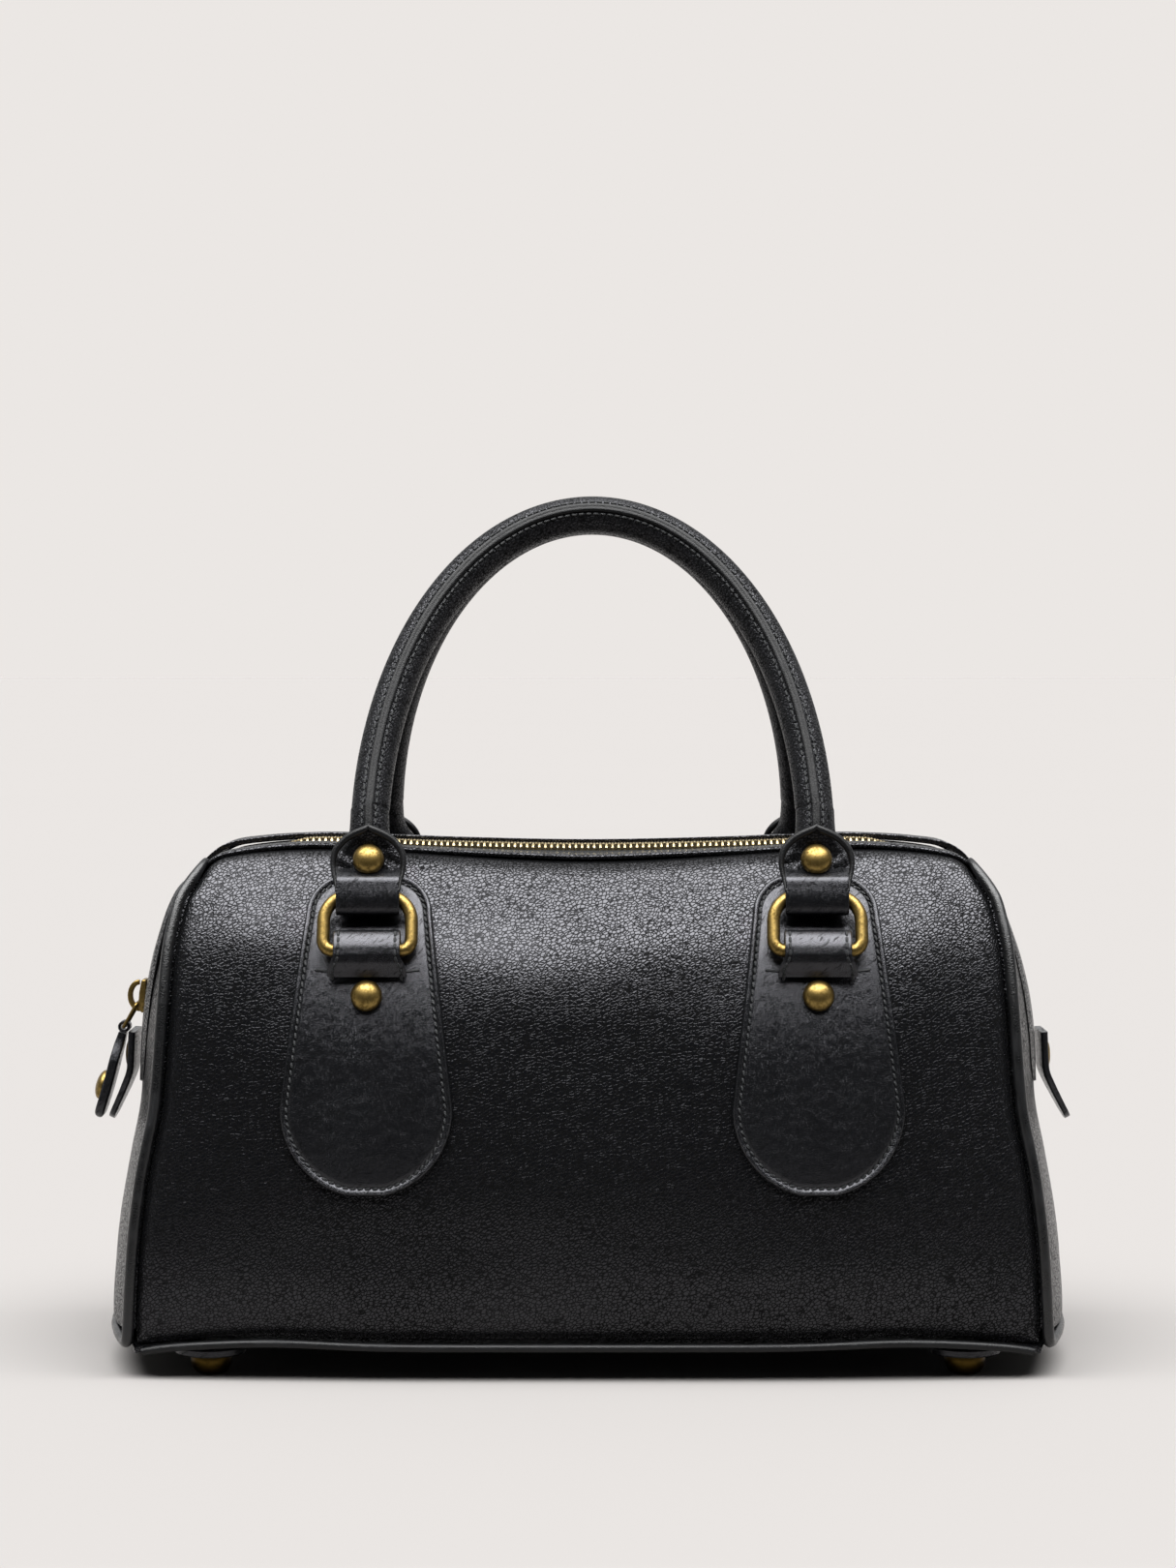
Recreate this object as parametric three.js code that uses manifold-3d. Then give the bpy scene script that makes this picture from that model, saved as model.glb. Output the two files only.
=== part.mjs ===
// A zip-top leather satchel on four brass feet, with two rolled handles on brass rings.
// X runs along the bag, the front faces -Y, +Z is up and the floor is at zero. Millimetres.
import * as THREE from "three";
import { mergeVertices } from "three/addons/utils/BufferGeometryUtils.js";
import Module from "manifold-3d";

const wasm = await Module();
wasm.setup();

// Leather walls and the gap between pieces that touch
const FIT = 0.3;
const SEAM_FIT = 0.45;
const SEAT = 0.5;
const PANEL_WALL = 2.0;
const BASE_WALL = 2.0;
const BAND_WALL = 1.8;
const PATCH_WALL = 1.8;
const LOOP_WALL = 1.6;
const STRAP_WALL = 1.9;
const TAB_WALL = 2.4;
const PULL_WALL = 3.4;

// The body, a row for each level from the floor up: half depth at the middle, half width at the
// corded end seam, how far the end swells past that seam, and how far the seam lies behind the middle
const BODY = [
  { height: 13.3, halfDepth: 73.0, halfWidth: 155.0, endCrown: 10.0, edgeInset: 6.0 },
  { height: 32.0, halfDepth: 77.0, halfWidth: 154.0, endCrown: 11.6, edgeInset: 9.0 },
  { height: 50.0, halfDepth: 77.5, halfWidth: 152.7, endCrown: 11.2, edgeInset: 10.0 },
  { height: 71.0, halfDepth: 76.5, halfWidth: 150.0, endCrown: 10.2, edgeInset: 11.0 },
  { height: 90.0, halfDepth: 74.5, halfWidth: 146.3, endCrown: 10.4, edgeInset: 11.0 },
  { height: 114.0, halfDepth: 71.0, halfWidth: 144.5, endCrown: 11.2, edgeInset: 11.0 },
  { height: 131.0, halfDepth: 66.5, halfWidth: 143.5, endCrown: 9.5, edgeInset: 10.0 },
  { height: 146.0, halfDepth: 60.0, halfWidth: 142.3, endCrown: 6.0, edgeInset: 8.5 },
  { height: 160.0, halfDepth: 51.0, halfWidth: 139.3, endCrown: 3.0, edgeInset: 6.0 },
  { height: 170.0, halfDepth: 42.0, halfWidth: 135.0, endCrown: 0.8, edgeInset: 3.0 },
  { height: 174.8, halfDepth: 35.5, halfWidth: 131.5, endCrown: 0.0, edgeInset: 0.5 },
  { height: 175.1, halfDepth: 30.0, halfWidth: 129.0, endCrown: 0.0, edgeInset: 0.0 },
];
const EDGE_POWER = 3.5;
const CROWN_POWER = 2;
const EDGE_CROWDING = 0.25;

// The top edge dips between the handles and falls at the corners; the lower edge lifts by the feet
const SADDLE_DEPTH = 2.2;
const SADDLE_HALF_SPAN = 95;
const SADDLE_FROM = 120;
const CORNER_DROP = 3.3;
const CORNER_AT = 133;
const CORNER_FROM = 158;
const TOP_HEIGHT = 175;
const FOOT_LIFT = 1.3;
const FOOT_LIFT_SPREAD = 26;
const FOOT_LIFT_AT = 106;
const FOOT_LIFT_TOP = 45;
const TOE_DROP = 2.3;
const TOE_POWER = 14;
const TOE_SIDE_POWER = 4;

// Corded seams
const END_PIPING_RADIUS = 2.0;
const BASE_PIPING_RADIUS = 1.4;
const END_SEAM = END_PIPING_RADIUS + SEAM_FIT;
const BASE_SEAM = BASE_PIPING_RADIUS + SEAM_FIT;
const BASE_SEAM_HEIGHT = 11.6;
// The end seam under the end of the bag, from its middle out to where it turns up
const END_SEAM_FOOT = [
  { across: 0, height: 12.1 },
  { across: 0.33, height: 12.1 },
  { across: 0.67, height: 12.1 },
  { across: 0.94, height: 12.1 },
  { across: 0.985, height: 12.9 },
  { across: 1.002, height: 14.6 },
];
const SEAM_TURN = 18;
const END_PIPING_TOP = 169.5;
const GUSSET_LOW = 14.6;
const GUSSET_TOP = 168.5;
const GUSSET_CORNER = 2.4;
const GUSSET_CORNER_TOP = 32;
const GUSSET_FLARE = 1.5;
const GUSSET_FLARE_TOP = 36;

// Base panel: lowest in the middle, its edges rising to the seams
const BASE_LOW = 9.8;
const BASE_EDGE_RISE = 0.9;
const BASE_EDGE_POWER = 8;

// The zip line over the top of the bag, from its middle outwards, at the level of the leather
const ZIP_TOP = [
  { along: 0, height: 175.8 },
  { along: 50, height: 176.7 },
  { along: 95, height: 178.0 },
  { along: 117, height: 176.3 },
  { along: 128, height: 174.0 },
];
const ZIP_END_LEVELS = [170, 164, 156, 147, 138, 128, 118, 107, 96];
const ZIP_CORNER = { low: 142, long: 62, apart: 9, apartBelow: 15, apartAbove: 18 };
const BAND_HALF = 35;
const BAND_INNER = 5.5;
const BAND_LIFT = 0.9;
const BAND_CORNER = 10;
const BAND_TURN = 166;
const BAND_DROP = { middle: 3.3, atHandles: 1.1, atCorner: 0.2, cornerAlong: 130 };
const NOTCH_HALF = 30;
const NOTCH_LOW = 99;
const NOTCH_OVER = 20;
const NOTCH_THROUGH = 120;
const TAPE_HALF = 13;
const TAPE_WALL = 0.8;
const CHAIN_HALF = 2.9;
const CHAIN_LOW = -0.4;
const CHAIN_HIGH = 3.0;
const CHAIN_RIGHT_END = 115;
const CHAIN_LEFT_END = 130.5;

// Handle stations: patch, loop and ring, the same on all four places but a little to the right
const STATION_X = 75.6;
const STATION_SHIFT = 1.5;
const PATCH_LOW = 63.2;
const PATCH_TOP = 168;
const PATCH_ROUND = 29.2;
const PATCH_TOP_HALF = 20;
const PATCH_CORNER = 11;
const PATCH_TIP_HALF = 6;
const RING_WIRE = 4.4;
const RING_WIDE = 29.6;
const RING_HIGH = 19.5;
const RING_LOW_CORNER = 3.6;
const RING_TOP_CORNER = 9.2;
const RING_PLAY = 0.4;
const LOOP_WIDE = 22.4;
const LOOP_DOWN = 8.6;
const LOOP_OPEN = -0.11 * Math.PI;
const LOOP_HOLE = { frontIn: 0.8, frontDown: 0.7, backDown: 0.6 };
const HINGE_SEAT_HEIGHT = 142;
const PATCH_STUD_HEIGHT = 128.8;
const STUD_RADIUS = 5.3;
const STUD_HIGH = 4.6;

// Handles: a half ellipse in a plane that leans in from the ring's lower bar
const HANDLE_BASE = 40.8;
const HANDLE_RISE = 119;
const HANDLE_START = 0.08;
const HANDLES_APART = 0.6;
const HANDLE_RADIUS = 6.5;
const HANDLE_RIDGE = 1.1;
const HANDLE_STUD_UP = 31.6;
// The tab below the tube, a row for each level above the ring's lower bar
const NECK = [
  { up: 24.5, halfWide: 10.7, halfDeep: 2.6, back: 0.0 },
  { up: 27.5, halfWide: 11.4, halfDeep: 2.6, back: 0.0 },
  { up: 32, halfWide: 12.1, halfDeep: 3.2, back: 0.8 },
  { up: 37, halfWide: 10.0, halfDeep: 4.4, back: 2.0 },
  { up: 41.8, halfWide: 7.1, halfDeep: 6.0, back: 0.5 },
];
const TAB_WIDE = 21.4;
const TAB_FOLD_LOW = 17.2;
const TAB_TOP = 28;
const TAB_TOP_HALF = 2.2;
const TAB_OVER_BAR = 1;

// Zip ends and puller
const END_TAB_WIDE = 22;
const END_TAB_LEAVES = 98;
const END_TAB_ROUTE = [
  { out: 0.0, height: 113.5 },
  { out: 0.0, height: 104.0 },
  { out: 0.1, height: 98.5 },
  { out: 1.9, height: 93.0 },
  { out: 5.6, height: 86.5 },
  { out: 9.6, height: 81.5 },
];
const END_TAB_FLARE = { right: 1.12, left: 0.92 };
const END_TAB_STUD_HEIGHT = 104;
const END_TAB_STUD_SCALE = 0.36;
const PULL_WIDE = 13;
const PULL_NECK_WIDE = 7;
const PULL_SHOULDER = { from: 0.1, to: 0.4 };
const PULL_ROUTE = [
  { along: -163.6, height: 112.6 },
  { along: -166.2, height: 103.5 },
  { along: -169.4, height: 91.5 },
  { along: -172.9, height: 80.5 },
];
const PULL_EYE = 1.1;
const PULL_FOLD = 2.1;
const PULL_STUD_PLACE = 0.67;
const PULL_STUD_SCALE = 0.6;
const SLIDER_LEVEL = 123.5;
const SLIDER_LONG = 11.6;
const SLIDER_WIDE = 8.6;
const SLIDER_LOW = 1.3;
const SLIDER_HIGH = 3.5;
const SLIDER_NOSE = { cut: 1.0, long: 2.0 };
const SLIDER_FALL = 1.2;
const BRIDGE = { out: 3.8, halfDeep: 4.2, halfLong: 5.6, wire: 1.8, wide: 3.2 };
const BRIDGE_FOOT = -0.72 * Math.PI;
const BRIDGE_LIP = 0.5 * Math.PI;
const PULL_RING_WIRE = 1.2;
const PULL_RING_WIDE = 9.4;
const PULL_RING_CORNER = 1.1;
const PULL_RING_HANG = { out: 4.4, up: -2.6 };

// Feet
const FOOT_X = 128;
const FOOT_Y = 55;
const FOOT_RADIUS = 7.0;
const FOOT_HIGH = 7.1;
const FOOT_FLAT = 3.4;
const WASHER_RADIUS = 12.2;
const WASHER_WALL = BASE_LOW - FOOT_HIGH - 2 * FIT;

const leather = () => new THREE.MeshStandardMaterial({ color: 0x17181b, roughness: 0.42, metalness: 0 });
const edging = () => new THREE.MeshStandardMaterial({ color: 0x1c1d20, roughness: 0.3, metalness: 0 });
const brass = () => new THREE.MeshStandardMaterial({ color: 0x9a7a35, roughness: 0.35, metalness: 1 });
const cloth = () => new THREE.MeshStandardMaterial({ color: 0x101114, roughness: 0.9, metalness: 0 });

const vec = (x, y, z) => new THREE.Vector3(x, y, z);
const X_AXIS = vec(1, 0, 0);
const Z_AXIS = vec(0, 0, 1);
const { lerp, smoothstep, clamp } = THREE.MathUtils;
const NUDGE = 0.002;

// A table's row at a place from 0 (first row) to 1 (last row), smooth through every row
function rowAt(table, place) {
  const spans = table.length - 1;
  const at = clamp(place, 0, 1) * spans;
  const first = Math.min(Math.floor(at), spans - 1);
  const f = at - first;
  const near = [-1, 0, 1, 2].map((k) => table[clamp(first + k, 0, spans)]);
  const row = {};
  for (const column of Object.keys(table[0])) {
    const [a, b, c, d] = near.map((entry) => entry[column]);
    row[column] = b + 0.5 * f * (c - a + f * (2 * a - 5 * b + 4 * c - d + f * (3 * (b - c) + d - a)));
  }
  return row;
}

// The place from 0 to 1 where a rising function reaches a value
function placeWhere(rising, value) {
  let low = 0;
  let high = 1;
  for (let step = 0; step < 40; step += 1) {
    const middle = (low + high) / 2;
    if (rising(middle) < value) low = middle;
    else high = middle;
  }
  return (low + high) / 2;
}

// A value along a list, from its first entry at 0 to its last at 1
function spread(list, part) {
  const at = clamp(part, 0, 1) * (list.length - 1);
  const first = Math.min(Math.floor(at), list.length - 2);
  return lerp(list[first], list[first + 1], at - first);
}

const bodyPlace = (height) => placeWhere((place) => rowAt(BODY, place).height, height);
const bodyAt = (height) => rowAt(BODY, bodyPlace(height));
const seamDepth = (row) => row.halfDepth - row.edgeInset;

// The levels that panels, gussets and corded seams share: every row, and halfway where the top turns in
const TURN_ROWS = [6, 7, 8];
const levelRows = [...BODY.keys(), ...TURN_ROWS.map((row) => row + 0.5)].sort((a, b) => a - b);
const LEVELS = levelRows.map((row) => row / (BODY.length - 1));
const levelsBetween = (low, top) => [low, ...LEVELS.filter((place) => place > low && place < top), top];

// Height of a point of the body after the saddle, the corner fall and the lift by the feet
function settle(x, height) {
  const saddle = -SADDLE_DEPTH * Math.cos((Math.PI * x) / SADDLE_HALF_SPAN);
  const corner = -CORNER_DROP * Math.pow(Math.abs(x) / CORNER_AT, 10);
  const lift = FOOT_LIFT * Math.exp(-Math.pow((Math.abs(x) - FOOT_LIFT_AT) / FOOT_LIFT_SPREAD, 2));
  return (
    height +
    saddle * smoothstep(height, SADDLE_FROM, TOP_HEIGHT) +
    corner * smoothstep(height, CORNER_FROM, TOP_HEIGHT) +
    lift * (1 - smoothstep(height, BODY[0].height, FOOT_LIFT_TOP))
  );
}

// How far the lower corners droop below the rest of the body
function toe(across, height) {
  const low = 1 - smoothstep(height, BODY[0].height, FOOT_LIFT_TOP);
  return TOE_DROP * low * Math.pow(Math.abs(across), TOE_POWER);
}

// Outer face of the front panel: across from -1 to 1, place from 0 at the base to 1 at the top
function frontPoint(across, place) {
  const row = rowAt(BODY, place);
  const x = across * (row.halfWidth - END_SEAM);
  const y = -(row.halfDepth - row.edgeInset * Math.pow(Math.abs(across), EDGE_POWER));
  return vec(x, y, settle(x, row.height) - toe(across, row.height));
}

// The front panel's outer face at a given x and height, with its outward normal
function frontAt(x, height) {
  const acrossAt = (place) => x / (rowAt(BODY, place).halfWidth - END_SEAM);
  const place = placeWhere((p) => frontPoint(acrossAt(p), p).z, height);
  const across = acrossAt(place);
  const along = frontPoint(across + NUDGE, place).sub(frontPoint(across - NUDGE, place));
  const up = frontPoint(across, place + NUDGE).sub(frontPoint(across, place - NUDGE));
  return { point: frontPoint(across, place), normal: along.cross(up).normalize() };
}

// Outer face of the right end: across from -1 at the front seam to 1 at the back seam
function endPoint(across, place) {
  const row = rowAt(BODY, place);
  const swell = row.endCrown * (1 - Math.pow(Math.abs(across), CROWN_POWER));
  const flare = GUSSET_FLARE * (1 - smoothstep(row.height, GUSSET_LOW, GUSSET_FLARE_TOP));
  const corner = GUSSET_CORNER * (1 - smoothstep(row.height, GUSSET_LOW, GUSSET_CORNER_TOP));
  const z = settle(row.halfWidth, row.height) + corner * Math.pow(Math.abs(across), 6);
  return vec(row.halfWidth + swell + flare * (1 - across * across), across * (seamDepth(row) - END_SEAM), z);
}

// Underside of the base: along and across from -1 to 1
function basePoint(along, across) {
  const row = BODY[0];
  const endX = row.halfWidth + row.endCrown * (1 - across * across) - END_SEAM;
  const sideY = row.halfDepth - row.edgeInset * Math.pow(Math.abs(along), EDGE_POWER) - BASE_SEAM;
  const edge = Math.pow(Math.max(Math.abs(along), Math.abs(across)), BASE_EDGE_POWER);
  const x = along * endX;
  const lift = settle(x, row.height) - row.height;
  const droop = toe(along, row.height) * Math.pow(Math.abs(across), TOE_SIDE_POWER);
  return vec(x, across * sideY, BASE_LOW + edge * (BASE_EDGE_RISE + lift - droop));
}

// A geometry from points and flat faces, turned so that its faces point out
function solidFrom(points, faces) {
  const index = [];
  for (const face of faces) {
    for (let k = 2; k < face.length; k += 1) index.push(face[0], face[k - 1], face[k]);
  }
  let volume = 0;
  for (let k = 0; k < index.length; k += 3) {
    const [a, b, c] = [points[index[k]], points[index[k + 1]], points[index[k + 2]]];
    volume += a.dot(b.clone().cross(c));
  }
  if (volume < 0) index.reverse();
  const geometry = new THREE.BufferGeometry();
  const flat = points.flatMap((point) => point.toArray());
  geometry.setAttribute("position", new THREE.Float32BufferAttribute(flat, 3));
  geometry.setIndex(index);
  return geometry;
}

// A leather wall: its outer face follows point(a, b) for a and b from 0 to 1, and it goes in by wall
function wallFrom(point, columns, rows, wall) {
  const outer = [];
  const inner = [];
  for (let j = 0; j <= rows; j += 1) {
    for (let i = 0; i <= columns; i += 1) {
      const [a, b] = [i / columns, j / rows];
      const alongA = point(Math.min(a + NUDGE, 1), b).sub(point(Math.max(a - NUDGE, 0), b));
      const alongB = point(a, Math.min(b + NUDGE, 1)).sub(point(a, Math.max(b - NUDGE, 0)));
      const normal = alongA.cross(alongB).normalize();
      outer.push(point(a, b));
      inner.push(point(a, b).addScaledVector(normal, -wall));
    }
  }
  const at = (i, j) => j * (columns + 1) + i;
  const faces = [];
  const skip = outer.length;
  for (let j = 0; j < rows; j += 1) {
    for (let i = 0; i < columns; i += 1) {
      const quad = [at(i, j), at(i + 1, j), at(i + 1, j + 1), at(i, j + 1)];
      faces.push(quad, quad.map((k) => k + skip).reverse());
    }
  }
  const rim = [];
  for (let i = 0; i < columns; i += 1) rim.push(at(i, 0));
  for (let j = 0; j < rows; j += 1) rim.push(at(columns, j));
  for (let i = columns; i > 0; i -= 1) rim.push(at(i, rows));
  for (let j = rows; j > 0; j -= 1) rim.push(at(0, j));
  rim.forEach((k, n) => {
    const next = rim[(n + 1) % rim.length];
    faces.push([next, k, k + skip, next + skip]);
  });
  return solidFrom([...outer, ...inner], faces);
}

// A skin through sections of equally many points, with flat ends or closed into a ring
function loft(sections, ring = false) {
  const count = sections[0].length;
  const faces = [];
  const spans = ring ? sections.length : sections.length - 1;
  for (let s = 0; s < spans; s += 1) {
    const next = (s + 1) % sections.length;
    for (let k = 0; k < count; k += 1) {
      const other = (k + 1) % count;
      faces.push([s * count + k, s * count + other, next * count + other, next * count + k]);
    }
  }
  if (!ring) {
    const last = (sections.length - 1) * count;
    faces.push([...Array(count).keys()].reverse());
    faces.push([...Array(count).keys()].map((k) => last + k));
  }
  return solidFrom(sections.flat(), faces);
}

// A round section of a wire, square to the direction it runs in
function wireSection(centre, direction, side, radius, sides) {
  const other = direction.clone().cross(side).normalize();
  const square = other.clone().cross(direction);
  return [...Array(sides).keys()].map((k) => {
    const angle = (2 * Math.PI * (k + 0.5)) / sides;
    const point = centre.clone().addScaledVector(square, radius * Math.cos(angle));
    return point.addScaledVector(other, radius * Math.sin(angle));
  });
}

function wireRing(points, side, radius, sides) {
  const sections = points.map((point, k) => {
    const before = points[(k + points.length - 1) % points.length];
    const after = points[(k + 1) % points.length];
    return wireSection(point, after.clone().sub(before).normalize(), side, radius, sides);
  });
  return loft(sections, true);
}

// A cord through points, with flat ends
function cord(points, side, radius, sides) {
  const last = points.length - 1;
  const sections = points.map((point, k) => {
    const run = points[Math.min(k + 1, last)].clone().sub(points[Math.max(k - 1, 0)]);
    return wireSection(point, run.normalize(), side, radius, sides);
  });
  return loft(sections);
}

// A turned brass piece about +Z from rows of radius and height
function turned(profile, sides) {
  const points = profile.map(([radius, height]) => new THREE.Vector2(radius, height));
  return new THREE.LatheGeometry(points, sides).rotateX(Math.PI / 2);
}

// Solids for joining and cutting
function toSolid(geometry) {
  const bare = geometry.index ? geometry.toNonIndexed() : geometry.clone();
  bare.deleteAttribute("normal");
  bare.deleteAttribute("uv");
  const merged = mergeVertices(bare, 1e-4);
  const vertProperties = new Float32Array(merged.attributes.position.array);
  const triVerts = new Uint32Array(merged.index.array);
  return new wasm.Manifold(new wasm.Mesh({ numProp: 3, vertProperties, triVerts }));
}

function toGeometry(solid) {
  const mesh = solid.getMesh();
  const geometry = new THREE.BufferGeometry();
  geometry.setAttribute("position", new THREE.BufferAttribute(mesh.vertProperties, 3));
  geometry.setIndex(new THREE.BufferAttribute(mesh.triVerts, 1));
  return geometry;
}

// An outline drawn in the plane square to X, its first axis to the front and its second up,
// made as wide as asked and centred on X
function extrudeAcross(shape, wide) {
  const geometry = new THREE.ExtrudeGeometry(shape, { depth: wide, bevelEnabled: false, curveSegments: 6 });
  const turn = new THREE.Matrix4().makeBasis(vec(0, -1, 0), Z_AXIS, vec(-1, 0, 0));
  return geometry.translate(0, 0, -wide / 2).applyMatrix4(turn);
}

// A strap lying in the plane of X and Z: its middle line follows rows of x and z, and its width is
// given at each place from 0 to 1 along it
function strapAlong(places, widthAt, wall, steps) {
  const path = new THREE.CatmullRomCurve3(places.map(([x, z]) => vec(x, 0, z)));
  const sections = [];
  for (let k = 0; k <= steps; k += 1) {
    const centre = path.getPoint(k / steps);
    const run = path.getTangent(k / steps);
    const face = vec(run.z, 0, -run.x).multiplyScalar(wall / 2);
    const edge = vec(0, widthAt(k / steps) / 2, 0);
    sections.push([
      centre.clone().sub(face).sub(edge),
      centre.clone().add(face).sub(edge),
      centre.clone().add(face).add(edge),
      centre.clone().sub(face).add(edge),
    ]);
  }
  return loft(sections);
}

const bag = new THREE.Group();

function put(parent, name, geometry, material) {
  const mesh = new THREE.Mesh(geometry, material);
  mesh.name = name;
  parent.add(mesh);
  return mesh;
}

// Half a turn about the upright carries each front piece to the back, left to right
function opposite(parent) {
  const group = new THREE.Group();
  group.rotation.z = Math.PI;
  parent.add(group);
  return group;
}

const turnedRound = opposite(bag);
const HALVES = [
  { group: bag, depth: "front", shift: STATION_SHIFT, sides: { left: "left", right: "right" } },
  { group: turnedRound, depth: "back", shift: -STATION_SHIFT, sides: { left: "right", right: "left" } },
];
const SIDES = [
  { side: "left", sign: -1 },
  { side: "right", sign: 1 },
];

// Front and back panels, with columns closer together where the face rolls into the end seams
const crowd = (a) => {
  const s = 2 * a - 1;
  return s * (1 + EDGE_CROWDING * (1 - s * s));
};
for (const { group, depth } of HALVES) {
  const face = (a, b) => frontPoint(crowd(a), spread(LEVELS, b));
  put(group, `${depth}_panel`, wallFrom(face, 12, LEVELS.length - 1, PANEL_WALL), leather());
}

// Gussets, notched from the top for the zip
const notchHigh = TOP_HEIGHT - NOTCH_LOW + NOTCH_OVER;
const notch = new THREE.BoxGeometry(NOTCH_THROUGH, 2 * NOTCH_HALF, notchHigh);
notch.translate(BODY[0].halfWidth, 0, NOTCH_LOW + notchHigh / 2);
const gussetLevels = levelsBetween(bodyPlace(GUSSET_LOW), bodyPlace(GUSSET_TOP));
const gussetPoint = (a, b) => endPoint(2 * a - 1, spread(gussetLevels, b));
for (const [group, name] of [[bag, "right_gusset"], [turnedRound, "left_gusset"]]) {
  const whole = toSolid(wallFrom(gussetPoint, 6, gussetLevels.length - 1, PANEL_WALL));
  put(group, name, toGeometry(whole.subtract(toSolid(notch))), leather());
}

// Base
put(bag, "base_panel", wallFrom((a, b) => basePoint(crowd(a), 1 - 2 * b), 12, 6, BASE_WALL), leather());

// Corded end seams: down the front edge, round the foot of the end and up the back edge
const seamPoint = (place) => {
  const row = rowAt(BODY, place);
  return vec(row.halfWidth, seamDepth(row), settle(row.halfWidth, row.height));
};
function endPipingRoute() {
  const levels = levelsBetween(bodyPlace(SEAM_TURN), bodyPlace(END_PIPING_TOP));
  const half = END_SEAM_FOOT.map(({ across, height }) => {
    const x = BODY[0].halfWidth + BODY[0].endCrown * (1 - across * across);
    return vec(x, across * seamDepth(BODY[0]), height);
  });
  const back = [...half, ...levels.map(seamPoint)];
  const front = back.slice(1).map(({ x, y, z }) => vec(x, -y, z));
  return [...front.reverse(), ...back];
}
for (const [group, name] of [[bag, "end_piping_right"], [turnedRound, "end_piping_left"]]) {
  put(group, name, cord(endPipingRoute(), X_AXIS, END_PIPING_RADIUS, 6), edging());
}

// Corded base seams along the front and back
function basePipingRoute() {
  const row = BODY[0];
  const reach = row.halfWidth - 2 * END_SEAM;
  return [...Array(13).keys()].map((k) => {
    const across = crowd(k / 12);
    const x = across * reach;
    const y = -(row.halfDepth - row.edgeInset * Math.pow(Math.abs(across), EDGE_POWER));
    return vec(x, y, BASE_SEAM_HEIGHT + settle(x, row.height) - row.height - toe(across, row.height));
  });
}
for (const { group, depth } of HALVES) {
  put(group, `base_piping_${depth}`, cord(basePipingRoute(), Z_AXIS, BASE_PIPING_RADIUS, 6), edging());
}

// The zip line from the foot of the right end over the top to the foot of the left end
function zipLine() {
  const end = ZIP_END_LEVELS.map((height) => {
    const row = bodyAt(height);
    return vec(row.halfWidth + row.endCrown, 0, settle(row.halfWidth, row.height));
  });
  const top = ZIP_TOP.map(({ along, height }) => vec(along, 0, height));
  const right = [...end.reverse(), ...top.reverse()];
  const left = right.slice(0, -1).reverse().map((point) => vec(-point.x, 0, point.z));
  return new THREE.CatmullRomCurve3([...right, ...left], false, "centripetal");
}
const zip = zipLine();
const zipLength = zip.getLength();

// How far the band's edge lies below the zip line
function bandDrop(centre) {
  const along = Math.abs(centre.x);
  if (centre.z < BAND_TURN) {
    const row = bodyAt(centre.z);
    return row.endCrown * Math.pow(BAND_HALF / seamDepth(row), CROWN_POWER);
  }
  const { middle, atHandles, atCorner, cornerAlong } = BAND_DROP;
  if (along > SADDLE_HALF_SPAN) {
    const on = smoothstep(along, SADDLE_HALF_SPAN, cornerAlong);
    return lerp(atHandles, atCorner, on);
  }
  const wave = 0.5 + 0.5 * Math.cos((Math.PI * along) / SADDLE_HALF_SPAN);
  return lerp(atHandles, middle, wave);
}

// A point beside the zip line: at a distance along it, to the side, and above the leather
function zipPoint(distance, side, above) {
  const at = clamp(distance / zipLength, 0, 1);
  const centre = zip.getPointAt(at);
  const run = zip.getTangentAt(at);
  const out = vec(run.z, 0, -run.x);
  const drop = bandDrop(centre) * Math.pow(side / BAND_HALF, 2);
  return centre.addScaledVector(out, above - drop).add(vec(0, side, 0));
}

// The distance along the zip line where it passes a height on the right end
const END_SHARE = 0.3;
const endPlace = (height) => placeWhere((at) => zip.getPointAt(at * END_SHARE).z, height);
const zipDistance = (height) => zipLength * END_SHARE * endPlace(height);

// Stations along the zip line, closer together where it turns down at the corners
const cornerFrom = zipDistance(ZIP_CORNER.low);
const cornerTo = cornerFrom + ZIP_CORNER.long;
function zipStations(from, to) {
  const marks = [from, cornerFrom, cornerTo, zipLength - cornerTo, zipLength - cornerFrom, to];
  const { apart, apartBelow, apartAbove } = ZIP_CORNER;
  const spacing = [apartBelow, apart, apartAbove, apart, apartBelow];
  const stations = [from];
  spacing.forEach((gap, k) => {
    const count = Math.max(1, Math.round((marks[k + 1] - marks[k]) / gap));
    for (let n = 1; n <= count; n += 1) stations.push(lerp(marks[k], marks[k + 1], n / count));
  });
  return stations;
}

// A long strip on the front side of the zip line, between two levels, over the given side distances
function zipStrip(stations, sidesAt, low, high) {
  const sections = stations.map((distance) => {
    const under = sidesAt(distance).map((side) => zipPoint(distance, -side, low));
    const over = sidesAt(distance).map((side) => zipPoint(distance, -side, high)).reverse();
    return [...under, ...over];
  });
  return loft(sections);
}

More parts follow.
